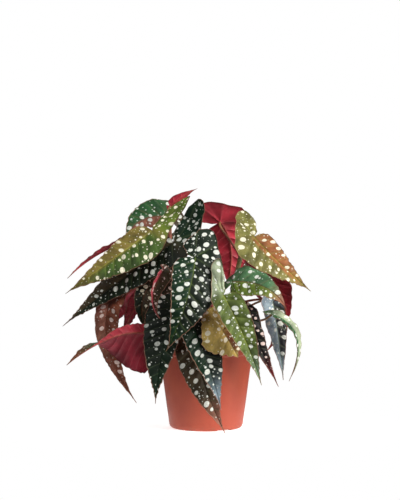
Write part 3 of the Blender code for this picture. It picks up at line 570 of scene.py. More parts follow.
class Nodes:
    """Adds and links nodes in one tree."""

    def __init__(self, tree):
        self.tree = tree

    def feed(self, node, inputs):
        """Gives each named or numbered socket of a node a value, or the socket that feeds it."""
        for key, value in inputs.items():
            socket = node.inputs[key]
            if isinstance(value, bpy.types.NodeSocket):
                self.tree.links.new(value, socket)
            elif socket.type == "RGBA" and len(value) == 3:
                socket.default_value = (*value, 1.0)
            else:
                socket.default_value = value
        return node

    def add(self, kind, inputs=None, **settings):
        """A node with its settings and its inputs."""
        node = self.tree.nodes.new("ShaderNode" + kind)
        for key, value in settings.items():
            setattr(node, key, value)
        return self.feed(node, inputs or {})

    def group(self, name, inputs):
        """A shared group placed in this tree with its own values."""
        return self.add("Group", inputs, node_tree=shared_group(name)).outputs

    def maths(self, operation, *values):
        """The result of a Math node."""
        return self.add("Math", dict(enumerate(values)), operation=operation).outputs[0]

    def plus(self, one, two):
        """one + two."""
        return self.maths("ADD", one, two)

    def minus(self, one, two):
        """one - two."""
        return self.maths("SUBTRACT", one, two)

    def times(self, one, two):
        """one * two."""
        return self.maths("MULTIPLY", one, two)

    def vector(self, operation, *values):
        """The result of a Vector Math node."""
        return self.add("VectorMath", dict(enumerate(values)), operation=operation).outputs[0]

    def scaled(self, vector, factor):
        """A vector or a colour times a number."""
        return self.add("VectorMath", {0: vector, "Scale": factor}, operation="SCALE").outputs[0]

    def step(self, value, low, high, to_low=0.0, to_high=1.0):
        """value mapped smoothly from low..high to to_low..to_high."""
        inputs = {"Value": value, "From Min": low, "From Max": high, "To Min": to_low,
                  "To Max": to_high}
        return self.add("MapRange", inputs, interpolation_type="SMOOTHSTEP").outputs["Result"]

    def mix(self, share, one, two, mode="MIX"):
        """Two colours mixed."""
        return self.add("Mix", {0: share, 6: one, 7: two}, data_type="RGBA",
                        blend_type=mode).outputs[2]

    def attribute(self, name, output="Fac"):
        """A point attribute of the piece."""
        return self.add("Attribute", attribute_name=name).outputs[output]

    def position(self):
        """Object coordinates, in metres."""
        return self.add("TexCoord").outputs["Object"]

    def noise(self, vector, scale, detail):
        """The value of a noise texture."""
        return self.add("TexNoise", {"Vector": vector, "Scale": scale, "Detail": detail}).outputs["Fac"]

    def clouds(self, vector, scale, low=0.3, high=0.7):
        """Cloudy variation from 0 to 1."""
        inputs = {"Vector": vector, "Scale": scale, "Low": low, "High": high}
        return self.group("Begonia Mottle", inputs)["Factor"]

    def stretched(self, vector, scale, turn=(0, 0, 0)):
        """Coordinates scaled along each axis and turned."""
        return self.add("Mapping", {"Vector": vector, "Scale": scale, "Rotation": turn}).outputs[0]


def dots(n, put):
    """Round dots of random size, one in each cell of a pattern and drawn out along v.  A dot shrinks
    to stay clear of the midrib, Out metres away, and of the rim, Edge metres away.  Gap is the
    distance to the dot's rim and Centre its middle."""
    noise = n.add("TexNoise", {"Vector": put["Vector"], "Scale": 230.0, "Detail": 1.0})
    wobble = n.scaled(n.vector("SUBTRACT", noise.outputs["Color"], (0.5, 0.5, 0.5)), 0.9 * MM)
    long = n.times(put["Pitch"], put["Stretch"])
    cell = n.add("CombineXYZ", {"X": put["Pitch"], "Y": long, "Z": 1.0}).outputs[0]
    shift = n.add("CombineXYZ", {"X": put["Shift"], "Y": put["Shift"]}).outputs[0]
    place = n.vector("ADD", n.vector("DIVIDE", n.vector("ADD", put["Vector"], wobble), cell), shift)
    cells = n.add("TexVoronoi", {"Vector": place, "Scale": 1.0, "Randomness": 0.72},
                  voronoi_dimensions="2D").outputs
    chance = n.add("SeparateColor", {0: cells["Color"]}).outputs
    middle = n.vector("MULTIPLY", n.vector("SUBTRACT", cells["Position"], shift), cell)
    away = n.add("SeparateXYZ", {0: n.vector("SUBTRACT", middle, put["Vector"])}).outputs
    outward = n.minus(n.times(away["Y"], VEIN_COS), n.times(away["X"], VEIN_SLANT * VEIN_COS))
    vein_room = n.minus(n.plus(put["Out"], outward), 0.5 * MM)
    rim_room = n.plus(n.minus(put["Edge"], away["Y"]), 0.2 * MM)
    room = n.times(n.maths("MINIMUM", vein_room, rim_room), 0.85)
    spread = n.minus(put["Largest"], put["Smallest"])
    size = n.maths("MINIMUM", n.plus(n.times(chance["Red"], spread), put["Smallest"]), room)
    gap = n.minus(n.times(cells["Distance"], put["Pitch"]), size)
    shown = n.maths("LESS_THAN", chance["Green"], put["Share"])
    inside = n.step(n.maths("DIVIDE", gap, put["Softness"]), -0.5, 0.5, 1.0, 0.0)
    inside = n.times(inside, n.step(size, 0.1 * MM, 0.4 * MM))
    return {"Mask": n.times(inside, shown), "Gap": n.plus(gap, n.minus(1.0, shown)),
            "Centre": middle}


def mottle(n, put):
    """Cloudy variation from 0 to 1."""
    noise = n.add("TexNoise", {"Vector": put["Vector"], "Scale": put["Scale"], "Detail": 4.0,
                               "Roughness": 0.55})
    return {"Factor": n.step(noise.outputs["Fac"], put["Low"], put["High"])}


def veins(n, put):
    """1 on a side vein and 0 between two, from a phase that is whole on each vein, and a net of fine
    veins between them as heights."""
    away = n.maths("PINGPONG", put["Phase"], 0.5)
    net = n.add("TexVoronoi", {"Vector": put["Vector"], "Scale": put["Net Scale"]},
                voronoi_dimensions="2D", feature="DISTANCE_TO_EDGE")
    return {"Vein": n.step(n.maths("DIVIDE", away, put["Width"]), 0.0, 1.0, 1.0, 0.0),
            "Net": n.step(net.outputs["Distance"], 0.0, 0.3)}


# each group: what builds it, its inputs with their defaults (None is a vector), its outputs' kinds
GROUPS = {
    "Begonia Dots": (dots, {"Vector": None, "Out": 1.0, "Edge": 1.0, "Pitch": 0.01,
                            "Smallest": 0.001, "Largest": 0.003, "Share": 1.0, "Stretch": 1.25,
                            "Softness": 0.0005, "Shift": 0.0},
                     {"Mask": "Float", "Gap": "Float", "Centre": "Vector"}),
    "Begonia Mottle": (mottle, {"Vector": None, "Scale": 60.0, "Low": 0.35, "High": 0.65},
                       {"Factor": "Float"}),
    "Begonia Veins": (veins, {"Vector": None, "Phase": 0.0, "Width": 0.07, "Net Scale": 420.0},
                      {"Vein": "Float", "Net": "Float"}),
}


def shared_group(name):
    """The node group of that name, made the first time that it's asked for."""
    tree = bpy.data.node_groups.get(name)
    if tree:
        return tree
    build, inputs, outputs = GROUPS[name]
    tree = bpy.data.node_groups.new(name, "ShaderNodeTree")
    for label, default in inputs.items():
        kind = "NodeSocketVector" if default is None else "NodeSocketFloat"
        socket = tree.interface.new_socket(name=label, in_out="INPUT", socket_type=kind)
        if default is not None:
            socket.default_value = default
    for label, kind in outputs.items():
        tree.interface.new_socket(name=label, in_out="OUTPUT", socket_type="NodeSocket" + kind)
    n = Nodes(tree)
    given = tree.nodes.new("NodeGroupInput")
    n.feed(tree.nodes.new("NodeGroupOutput"), build(n, given.outputs))
    return tree


def new_look(name):
    """A new material and what adds its nodes."""
    look = bpy.data.materials.new(name)
    look.use_nodes = True
    return look, Nodes(look.node_tree)


def finish_look(look, n, colour, rough, relief, depth, strength, specular=0.5):
    """The material, its shader fed with a colour, a roughness and a bump of a depth in metres."""
    normal = n.add("Bump", {"Height": relief, "Distance": depth, "Strength": strength}).outputs[0]
    n.feed(look.node_tree.nodes["Principled BSDF"],
           {"Base Color": colour, "Roughness": rough, "Normal": normal,
            "Specular IOR Level": specular})
    return look


Ground = namedtuple("Ground", "look n place rim_away clouds fine vein net base")


def blade_ground(name, cloud_scale, shade, fine_scale, vein_width, net_scale):
    """What both sides of a blade start from: pattern coordinates, distance from the rim, large and
    fine clouds, veins and their net, and the blade's colours shaded by the large clouds."""
    look, n = new_look(name)
    place = n.add("UVMap", uv_map="Pattern").outputs["UV"]
    clouds = n.clouds(n.position(), cloud_scale)
    lines = n.group("Begonia Veins", {"Vector": place, "Phase": n.attribute("Vein"),
                                      "Width": vein_width, "Net Scale": net_scale})
    base = n.scaled(n.attribute("Tone", "Color"), n.step(clouds, 0.0, 1.0, *shade))
    return Ground(look, n, place, n.attribute("Edge"), clouds, n.clouds(place, fine_scale),
                  lines["Vein"], lines["Net"], base)


def large_dots(n, s, place, soft, **room):
    """The group of large dots at pattern coordinates; soft is the width of a dot's blurred rim."""
    return n.group("Begonia Dots", {"Vector": place, "Pitch": s.dot_pitch, "Smallest": s.dot_small,
                                    "Largest": s.dot_large, "Share": 0.93, "Stretch": 1.35,
                                    "Softness": soft, **room})


def small_dots(n, s, place, soft, **room):
    """The mask of the small dots and of the specks, both clear of the large dots."""
    masks = []
    # pitch, smallest and largest radius, share of the cells, shift, room kept free, strength
    layers = ((s.dot_pitch * 0.62, s.dot_small * 0.45, s.dot_small * 0.95, 0.32, 0.37, 1.8 * MM, 1.0),
              (s.speck_pitch, s.speck_large * 0.4, s.speck_large, 0.45, 0.11, 1.0 * MM, 0.7))
    for pitch, smallest, largest, share, shift, free, strength in layers:
        layer = n.group("Begonia Dots", {"Vector": place, "Pitch": pitch, "Smallest": smallest,
                                         "Largest": largest, "Share": share, "Stretch": 1.05,
                                         "Softness": soft * 0.8, "Shift": shift, **room})
        gap = large_dots(n, s, layer["Centre"], soft)["Gap"]
        masks.append(n.times(layer["Mask"], n.step(gap, free * 0.7, free, 0.0, strength)))
    return n.maths("MAXIMUM", *masks)


def leaf_top_look(s):
    """Upper side of a blade: its colours, clouds, pale side veins, dots and specks, and a thin rim."""
    soft = 0.6 * MM
    g = blade_ground("leaf_top", 55.0, (0.62, 1.22), 420.0, 0.09, 520.0)
    n, room = g.n, {"Out": g.n.attribute("Out"), "Edge": g.rim_away}
    base = n.mix(n.times(g.fine, 0.16), g.base, s.dark)
    paler = n.mix(1.0, base, (0.07, 0.10, 0.04), "ADD")
    base = n.mix(n.times(g.vein, 0.3), base, paler)
    spots = n.maths("MAXIMUM", large_dots(n, s, g.place, soft, **room)["Mask"],
                    small_dots(n, s, g.place, soft, **room))
    thin = n.step(g.fine, 0.0, 1.0, 0.8, 1.0)
    spotted = n.mix(n.times(spots, thin), base, n.attribute("Dot", "Color"))
    line = n.step(g.rim_away, 0.3 * MM, 1.0 * MM, 0.6, 0.0)
    rough = n.plus(n.step(g.clouds, 0.0, 1.0, 0.40, 0.52), n.times(spots, 0.08))
    relief = n.plus(n.times(g.net, 0.5), n.times(g.fine, 0.35))
    relief = n.plus(n.minus(relief, n.times(g.vein, 0.8)), n.times(spots, 0.35))
    return finish_look(g.look, n, n.mix(line, spotted, s.rim), rough, relief, 0.22 * MM, 0.8, 0.2)


def leaf_under_look(s):
    """Lower side of a blade: wine red, with raised lighter veins and the dots faintly showing."""
    g = blade_ground("leaf_under", 42.0, (0.70, 1.18), 380.0, 0.10, 460.0)
    n, room = g.n, {"Out": g.n.attribute("Out"), "Edge": g.rim_away}
    paler = n.mix(1.0, g.base, (0.16, 0.07, 0.07), "ADD")
    base = n.mix(n.times(g.vein, 0.35), g.base, paler)
    base = n.mix(n.times(n.minus(1.0, g.net), 0.10), base, paler)
    base = n.mix(n.times(large_dots(n, s, g.place, 1.6 * MM, **room)["Mask"], 0.16), base, paler)
    line = n.step(g.rim_away, 0.2 * MM, 0.9 * MM, 0.25, 0.0)
    rough = n.step(g.fine, 0.0, 1.0, 0.46, 0.58)
    relief = n.plus(n.times(g.vein, 0.9), n.times(g.fine, 0.25))
    relief = n.minus(relief, n.times(g.net, 0.35))
    return finish_look(g.look, n, n.mix(line, base, s.rim), rough, relief, 0.25 * MM, 0.8, 0.35)


def cane_look():
    """Canes and stalks: their own colours with fine streaks and pale pores."""
    look, n = new_look("cane_skin")
    place = n.position()
    streaks = n.clouds(n.stretched(place, (1.0, 1.0, 0.12)), 900.0)
    shade = n.step(n.clouds(place, 130.0, 0.35, 0.65), 0.0, 1.0, 0.75, 1.15)
    base = n.scaled(n.attribute("Tone", "Color"), shade)
    paler = n.mix(1.0, base, (0.10, 0.09, 0.06), "ADD")
    base = n.mix(n.times(streaks, 0.3), base, paler)
    pores = n.add("TexVoronoi", {"Vector": place, "Scale": 330.0, "Randomness": 1.0})
    pore = n.step(pores.outputs["Distance"], 0.14, 0.22, 1.0, 0.0)
    base = n.mix(n.times(pore, 0.55), base, (0.42, 0.36, 0.24))
    relief = n.plus(streaks, n.times(pore, 0.8))
    return finish_look(look, n, base, n.step(streaks, 0.0, 1.0, 0.42, 0.6), relief, 0.2 * MM, 0.7)


def pot_look(s):
    """Moulded terracotta-coloured plastic: faint flow clouds, fine grain, scuffs and soil dust."""
    look, n = new_look("pot_plastic")
    place = n.position()
    clouds = n.clouds(place, 24.0)
    flow = n.clouds(n.stretched(place, (1.0, 1.0, 0.15)), 130.0, 0.3, 0.75)
    base = n.mix(n.times(clouds, 0.35), s.plastic, s.plastic_deep)
    base = n.mix(n.times(flow, 0.18), base, s.plastic_deep)
    height = n.add("SeparateXYZ", {0: place}).outputs["Z"]
    at_rim = n.step(height, s.height - 20 * MM, s.height, 0.0, 0.5)
    at_foot = n.step(height, 0.0, 9 * MM, 0.45, 0.0)
    dust = n.times(n.plus(at_rim, at_foot), n.clouds(place, 210.0, 0.45, 0.7))
    scuffs = n.noise(n.stretched(place, (1.0, 1.0, 0.35), (0.3, 0.2, 0.5)), 520.0, 3.0)
    rough = n.plus(n.step(clouds, 0.0, 1.0, 0.42, 0.5), n.times(dust, 0.5))
    rough = n.plus(rough, n.times(n.step(scuffs, 0.58, 0.66), 0.10))
    relief = n.plus(n.times(n.noise(place, 2600.0, 2.0), 0.5), n.times(flow, 0.6))
    return finish_look(look, n, n.mix(dust, base, s.dust), rough, relief, 0.12 * MM, 0.6)


def soil_look(s):
    """Moist peat with fibres: clods of three browns and a coarse, matt surface."""
    look, n = new_look("potting_soil")
    place = n.position()
    clods = n.clouds(place, 160.0)
    fibre = n.noise(n.stretched(place, (1.0, 0.25, 1.0), (0, 0, 0.8)), 800.0, 3.0)
    fibre = n.step(fibre, 0.56, 0.64)
    base = n.scaled(n.attribute("Tone", "Color"), n.step(clods, 0.0, 1.0, 0.55, 1.35))
    base = n.mix(n.times(fibre, 0.45), base, s.fibre)
    grains = n.add("TexVoronoi", {"Vector": place, "Scale": 700.0}).outputs["Distance"]
    relief = n.plus(grains, n.times(fibre, 0.5))
    return finish_look(look, n, base, n.step(clods, 0.0, 1.0, 0.82, 0.98), relief, 0.6 * MM, 0.9)


def floor_look(s):
    """A plain pale floor that thins out to nothing far from the plant."""
    look, n = new_look("studio_floor")
    place = n.position()
    away = n.add("VectorMath", {0: place}, operation="LENGTH").outputs["Value"]
    shade = n.step(n.noise(place, 40.0, 3.0), 0.3, 0.7, 0.985, 1.0)
    n.feed(look.node_tree.nodes["Principled BSDF"],
           {"Base Color": n.scaled(s.floor, shade), "Alpha": n.step(away, *FLOOR_FADE, 1.0, 0.0),
            "Roughness": 0.8, "Specular IOR Level": 0.1, "Emission Color": (1.0, 1.0, 1.0),
            "Emission Strength": 0.7})
    return look


# ---------------------------------------------------------------- leaf blades

ROWS = 92                      # rows along the midrib
LOBE_ROWS = 30                 # rows fanned round the big lobe
SHOULDER_ROWS = 10             # rows fanned round the small shoulder
COLUMNS = 15                   # from midrib to rim
LOBE_VEINS = 3                 # veins fanned over the big lobe
MIDRIB_POINTS = 401
RIM_POINTS = 1200              # points on each half's rim
SCALLOPED = "leaf_front_scalloped"
BAY_PITCH = 9.5 * MM           # distance between the scalloped leaf's bays
BAY_HEIGHT = 2.8 * MM
SWAY = 0.3 * MM                # how far a toothed rim sways in and out
NORMAL_STEP = 0.05 * MM
GROOVE_WIDTH = 0.10            # of a side vein on the upper side, counted in veins
RIDGE = 0.3 * MM               # how far the side veins stand out of the lower side
RIDGE_WIDTH = 0.08
VALLEY = 0.7 * MM              # how far the blade sinks over the midrib
VALLEY_WIDTH = 1.3 * MM
RIB_WIDTH = 1.2 * MM
RIM_THINNING = 0.25            # share of its thickness that a blade loses at the rim

# One side of a blade: flat points, triangles (upper side out) and the half of each, the ring of rim
# points and the half of each, and for each point its vein phase and its distance from the rim
Layout = namedtuple("Layout", "flat triangles halves ring ring_half phase edge")


class Midrib:
    """The midrib: a parabola through node, via and tip, and a circular arc behind the node.  The
    upper side turns smoothly from the direction face at the node to turn at the tip."""

    def __init__(self, row):
        node, via, tip = (np.asarray(p, float) * MM for p in (row.node, row.via, row.tip))
        middle = 2 * via - 0.5 * (node + tip)
        t = np.linspace(0, 1, MIDRIB_POINTS)[:, None]
        self.path = parabola(node, middle, tip, t)
        self.tangent = unit(2 * (1 - t) * (middle - node) + 2 * t * (tip - middle))
        self.along = distances(self.path)
        self.length = self.along[-1]
        self.face = unit(row.face)
        self.turn = unit(row.turn)
        self.nod = radians(row.nod) / (10 * MM)

    def frame(self, x):
        """Point, direction and upper-side normal at the distance x from the node, behind it too."""
        inside = np.clip(x, 0, self.length)
        at = np.interp(inside, self.along, np.arange(len(self.along)))
        point = along_path(self.path, at)
        ahead = unit(along_path(self.tangent, at))
        look = blend(self.face, self.turn, ease(0, self.length, inside))
        up = unit(look - ahead * np.sum(look * ahead, -1, keepdims=True))
        behind = np.maximum(-x, 0)[..., None]
        angle = self.nod * behind
        reach = np.sinc(angle / pi) * behind
        drop = np.sinc(angle / (2 * pi)) * np.sin(angle / 2) * behind
        point = point - ahead * reach - up * drop
        cosine, sine = np.cos(angle), np.sin(angle)
        return point, ahead * cosine + up * sine, up * cosine - ahead * sine


def half_outlines(row, far):
    """The flat rim of the big half and of the small half, each from the sinus to the tip, as smooth
    curves through a few points given as shares of the leaf's length, widths and lobe."""
    w, s, b = row.big * MM, row.small * MM, row.lobe * MM
    broad = w * row.full
    lean = row.lean * b
    big = [(-0.08 * b, -0.34 * broad), (-0.45 * b, 0.20 * lean - 0.68 * broad),
           (-0.85 * b, 0.72 * lean - 0.45 * broad), (-b, lean),
           (-0.86 * b, 0.74 * lean + 0.42 * broad), (-0.45 * b, 0.20 * lean + 0.80 * broad),
           (0.0, 0.49 * (w + broad)), (0.16 * far, w),
           (0.38 * far, 0.86 * w), (0.60 * far, 0.58 * w), (0.80 * far, 0.25 * w),
           (0.92 * far, 0.07 * w), (far, 0.0)]
    small = [(0.005 * far, -0.30 * s), (0.02 * far, -0.62 * s), (0.07 * far, -0.90 * s),
             (0.18 * far, -s), (0.38 * far, -0.88 * s), (0.60 * far, -0.58 * s),
             (0.80 * far, -0.25 * s), (0.92 * far, -0.07 * s), (far, 0.0)]
    return smooth_through(big, RIM_POINTS), smooth_through(small, RIM_POINTS)


def toothed(rim, outward, row, s):
    """The rim with its teeth.  With d the distance along the rim and beat = |sin(pi d / pitch)|, the
    edge moves out by height * (0.35 - beat), small points between shallow hollows, and sways slowly;
    on the scalloped leaf it moves by height * (beat ^ 0.7 - 0.6), round bays that grow between 6 and
    22 mm from the sinus.  Both fade out within 9 mm of the sinus and 14 mm of the tip."""
    tangent = unit(np.gradient(rim, axis=0))
    normal = np.stack([-tangent[:, 1], tangent[:, 0]], -1) * outward
    far = distances(rim)
    random = np.random.default_rng(hash_name(row.name) % 9973)
    drift = 0.25 * np.sin(far / (23 * MM) + random.uniform(0, 6))
    narrow = np.clip(max(row.big, row.small) / 30, 0.45, 1)
    if row.name == SCALLOPED:
        beat = np.abs(np.sin(pi * far / BAY_PITCH + drift))
        out = BAY_HEIGHT * (beat ** 0.7 - 0.6) * ease(6 * MM, 22 * MM, far)
    else:
        beat = np.abs(np.sin(pi * far / s.tooth_pitch + 3 * drift))
        uneven = 0.75 + 0.5 * np.sin(far / (11 * MM) + random.uniform(0, 6))
        sway = np.sin(2 * pi * far / (14 * MM) + 2 * np.sin(far / (31 * MM)))
        out = narrow * s.tooth * (0.35 - beat) * uneven + narrow * SWAY * sway
    out = out * ease(0, 9 * MM, far) * ease(0, 14 * MM, far[-1] - far)
    return rim + normal * out[:, None]


def hash_name(name):
    """The same whole number for the same name in every session."""
    return sum((k + 7) * ord(letter) for k, letter in enumerate(name))


def half_grid(plain, rim, far, fan):
    """Flat grid of one half, from midrib to rim the way the side veins run, and the vein phase of
    each row.  Rows leave the midrib at even steps; behind the node they fan out round the lobe."""
    foot = np.maximum(plain[:, 0] - VEIN_SLANT * np.abs(plain[:, 1]), 0)
    foot = np.maximum.accumulate(foot)
    first = max(int(np.argmax(foot > 1e-7)), 30)
    marks = far * (np.arange(1, ROWS + 1) / ROWS)
    picks = np.concatenate([np.linspace(0, first, fan, endpoint=False),
                            np.interp(marks, foot[first:], np.arange(first, len(foot)))])
    ends = along_path(rim, picks)
    feet = np.stack([np.concatenate([np.zeros(fan), marks]), np.zeros(fan + ROWS)], -1)
    share = (np.arange(COLUMNS + 1) / COLUMNS) ** 1.15
    share = (0.75 * share + 0.25 * np.sin(share * pi / 2))[None, :, None]
    turn = np.concatenate([np.arange(fan) / fan - 1, np.zeros(ROWS)])
    return feet[:, None] * (1 - share) + ends[:, None] * share, turn, feet[:, 0], share[0, :, 0]


def blade_surface(row, midrib, flat):
    """Bends flat leaf coordinates (x along the midrib, y out to the side) into place.  Each half
    starts at its fold angle and rolls down along a circle, so across = (sin f - sin a) / c and
    rise = (cos a - cos f) / c with a = f - c * out; a sine ripple lifts the edge."""
    x, y = flat[..., 0], flat[..., 1] * row.side
    point, ahead, up = midrib.frame(x)
    left = np.cross(up, ahead)
    soft = 0.8 * MM + 5.2 * MM * np.clip(-x / (12 * MM), 0, 1)
    out = np.sqrt(y * y + soft * soft) - soft
    is_big = flat[..., 1] >= 0
    fade = np.clip(1 + x / (0.6 * row.lobe * MM), 0.25, 1)
    mean_fold = 0.5 * (row.fold[0] + row.fold[1])
    fold = np.where(is_big, row.fold[0], row.fold[1])
    fold = np.radians(np.where(x < 0, mean_fold + (fold - mean_fold) * fade, fold) * fade)
    curl = np.radians(np.where(is_big, row.curl[0], row.curl[1])) / (10 * MM)
    curl = np.where(np.abs(curl) < 1e-3, 1e-3, curl)
    angle = fold - curl * out
    across = (np.sin(fold) - np.sin(angle)) / curl * np.sign(y)
    rise = (np.cos(angle) - np.cos(fold)) / curl
    width = row.big * MM
    beat = 2 * pi / (30 * MM) * (x - 0.5 * np.abs(y)) + row.phase + 1.3 * (y > 0)
    ripple = row.wave * MM * np.clip(np.abs(y) / width, 0, 1.3) ** 1.6 * np.sin(beat)
    across = across - np.sign(y) * np.sin(angle) * ripple
    rise = rise + np.cos(angle) * ripple
    return point + left * across[..., None] + up * rise[..., None]


def surface_normal(row, midrib, flat):
    """Upper-side normal of the bent blade, from small steps in x and y."""
    dx, dy = (blade_surface(row, midrib, flat + step) - blade_surface(row, midrib, flat - step)
              for step in np.array([(NORMAL_STEP, 0), (0, NORMAL_STEP)]))
    return unit(np.cross(dx, dy)) * row.side


def blade_layout(row, midrib, s):
    """Lays one side of a blade out flat."""
    far = midrib.length
    columns = COLUMNS + 1
    flat, phase, edge, faces, rings = [], [], [], [], []
    start = 0
    for plain, outward, fan in zip(half_outlines(row, far), (1, -1), (LOBE_ROWS, SHOULDER_ROWS)):
        rim = toothed(plain, outward, row, s)
        grid, turn, feet, share = half_grid(plain, rim, far, fan)
        reach = np.linalg.norm(grid[:, -1] - grid[:, 0], axis=1)
        number = np.arange(grid.shape[0] * columns).reshape(-1, columns) + start
        start += grid.shape[0] * columns
        flat.append(grid.reshape(-1, 2))
        row_phase = feet / s.vein_pitch + turn * LOBE_VEINS + (0.5 if outward < 0 else 0.0)
        phase.append(np.repeat(row_phase, columns))
        edge.append((reach[:, None] * (1 - share[None, :])).ravel())
        quads = np.stack([number[:-1, :-1], number[:-1, 1:], number[1:, 1:], number[1:, :-1]], -1)
        quads = quads.reshape(-1, 4)
        faces.append((quads, outward))
        rings.append(number)
    flat, phase, edge = np.vstack(flat), np.concatenate(phase), np.concatenate(edge)
    # the midrib is one line of points for both halves, the node and the tip one point each
    same = np.arange(len(flat))
    big, small = rings
    same[big[:LOBE_ROWS, 0]] = big[0, 0]
    same[small[:SHOULDER_ROWS, 0]] = big[0, 0]
    same[small[SHOULDER_ROWS:, 0]] = big[LOBE_ROWS:, 0]
    same[big[-1]] = big[-1, 0]
    same[small[-1]] = big[-1, 0]
    triangles, halves = [], []
    for quads, outward in faces:
        quads = same[quads][:, ::-outward * row.side]
        triangles.append(quads[:, (0, 1, 2)])
        triangles.append(quads[:, (0, 2, 3)])
        halves.append(np.full(2 * len(quads), outward))
    triangles, halves = np.vstack(triangles), np.concatenate(halves)
    a, b, c = triangles.T
    whole = (a != b) & (b != c) & (c != a)
    triangles, halves = triangles[whole], halves[whole]
    first = np.concatenate([big[0], big[1:-1, -1], big[-1, :1]])
    second = np.concatenate([small[0, 1:], small[1:-1, -1]])
    ring = same[np.concatenate([first, second[::-1]])]
    ring_half = np.concatenate([np.ones(len(first)), -np.ones(len(second))])
    used = np.unique(triangles)
    number = np.zeros(len(flat), int)
    number[used] = np.arange(len(used))
    return Layout(flat[used], number[triangles], halves, number[ring], ring_half, phase[used],
                  edge[used])


def from_vein(phase):
    """Distance from the nearest side vein, counted in veins."""
    return np.abs((phase + 0.5) % 1 - 0.5)


def past_node(flat):
    """0 behind the node and 1 in front of it."""
    return ease(-2 * MM, 1 * MM, flat[:, 0])


def relief(lay, far, s):
    """Height of the quilted surface: it sinks by a bell curve over each side vein and over the
    midrib, and swells by sin squared between two side veins, less near the rim, where it ripples
    with each vein."""
    x, out, away = lay.flat[:, 0], np.abs(lay.flat[:, 1]), from_vein(lay.phase)
    room = ease(0, 7 * MM, out) * ease(0, 5 * MM, lay.edge) * ease(0, 0.35, 1 - x / far)
    height = -s.groove * bell(away, GROOVE_WIDTH) * room
    height += s.quilt * np.sin(pi * np.clip(away * 2, 0, 1) / 2) ** 2 * room
    height -= VALLEY * bell(out, VALLEY_WIDTH) * ease(-3 * MM, 2 * MM, x)
    pucker = ease(11 * MM, 1 * MM, lay.edge) * ease(3 * MM, 9 * MM, out) * ease(0, 0.2, 1 - x / far)
    height += s.pucker * np.cos(2 * pi * lay.phase) * pucker
    return height


def blade_tone(row, lay, far, s):
    """Upper-side colour of each point, blended over the halves, the lobe, the tip and the rib."""
    look = row.paint
    named = {name: np.array(getattr(s, name)) for name in set(look[:-1]) - {None}}
    x, y = lay.flat.T
    half = blend(named[look.small], named[look.big], ease(-3 * MM, 3 * MM, y - look.over * MM))
    tone = blend(named[look.base], half, ease(-8 * MM, 10 * MM, x) * 0.95)
    if look.lobe:
        tone = blend(tone, named[look.lobe], ease(4 * MM, -14 * MM, x))
    if look.tip:
        tone = blend(tone, named[look.tip], ease(0.55 * far, 0.95 * far, x))
    vein = bell(from_vein(lay.phase), 0.12) * (1 - ease(4 * MM, 24 * MM, np.abs(y)))
    tone = blend(tone, named[look.rib], 0.16 * vein)
    ridge = bell(y, 0.9 * MM) * ease(-4 * MM, 2 * MM, x) * (1 - 0.6 * np.clip(x / far, 0, 1))
    return blend(tone, named[look.rib], 0.85 * ridge)


def past_vein(flat):
    """Where flat points lie from the first side vein of the big half: along it, and behind it."""
    x, y = flat[..., 0], flat[..., 1]
    return np.stack([(VEIN_SLANT * x + y) * VEIN_COS, (VEIN_SLANT * y - x) * VEIN_COS], -1)


def clear_of_veins(flat):
    """Room that dots have: the distance from the midrib, more freely behind the node of the small
    half, and on the big half the distance from its first side vein as well."""
    x, y = flat[:, 0], flat[:, 1]
    behind = past_vein(flat)[:, 1]
    big = np.minimum(np.abs(behind) - 0.8 * MM, np.where(behind > 0, behind, y))
    return np.where(y > 0, big, 3 * np.maximum(-x, 0) - y)


def pattern(flat, halves, row):
    """Pattern coordinates of flat points: u across and v along the side veins of their half, so
    u = (x - slant a) / r and v = (slant x + a) / r with a = y on the big half, -y on the small half
    and r = sqrt(1 + slant^2).  Behind the first side vein of the big half, x and a are measured
    from that vein in place of the midrib.  Each leaf and half starts at its own place."""
    halves = np.asarray(halves, float).reshape(-1, *[1] * (flat.ndim - 2))
    behind = past_vein(flat)
    middle = behind[..., 1].mean(tuple(range(1, behind.ndim - 1))).reshape(halves.shape)
    lobe = (middle > 0) & (halves > 0)
    x = np.where(lobe, behind[..., 0], flat[..., 0])
    a = np.where(lobe, behind[..., 1], flat[..., 1] * halves)
    start = 0.13 * (hash_name(row.name) % 23) + 0.21 * lobe
    u = (x - VEIN_SLANT * a) * VEIN_COS + start
    v = (VEIN_SLANT * x + a) * VEIN_COS + start * 0.7 + 0.4 * (1 - halves)
    return np.stack([u, v], -1)


def blade_points(row, midrib, lay, s):
    """Points of a blade's upper side, of its lower side and of the lip between them.  Both sides lie
    half a thickness from the bent, quilted surface; the midrib and the side veins stand out of the
    lower side by bell curves."""
    flat, ring, far = lay.flat, lay.ring, midrib.length
    middle = blade_surface(row, midrib, flat)
    normal = surface_normal(row, midrib, flat)
    height = relief(lay, far, s)[:, None]
    out = np.abs(flat[:, 1])
    half = (0.5 * s.thickness * (1 - RIM_THINNING * ease(6 * MM, 0, lay.edge)))[:, None]
    rib = s.rib * bell(out, RIB_WIDTH) * past_node(flat) * (1 - 0.8 * np.clip(flat[:, 0] / far, 0, 1))
    ridge = RIDGE * bell(from_vein(lay.phase), RIDGE_WIDTH) * ease(0, 5 * MM, lay.edge)
    ridge = ridge * ease(0, 4 * MM, out)
    top = middle + normal * (half + height)
    under = middle + normal * (height - half - (rib + ridge)[:, None])
    along = unit(middle[np.roll(ring, -1)] - middle[np.roll(ring, 1)])
    outward = np.cross(along, normal[ring]) * row.side
    turned_out = np.sign(np.sum(outward * (middle[ring] - middle.mean(0)), -1).sum())
    lip = middle[ring] + normal[ring] * height[ring] + outward * turned_out * half[ring] * 0.9
    return np.vstack([top, under, lip]) + np.array(row.shift) * MM


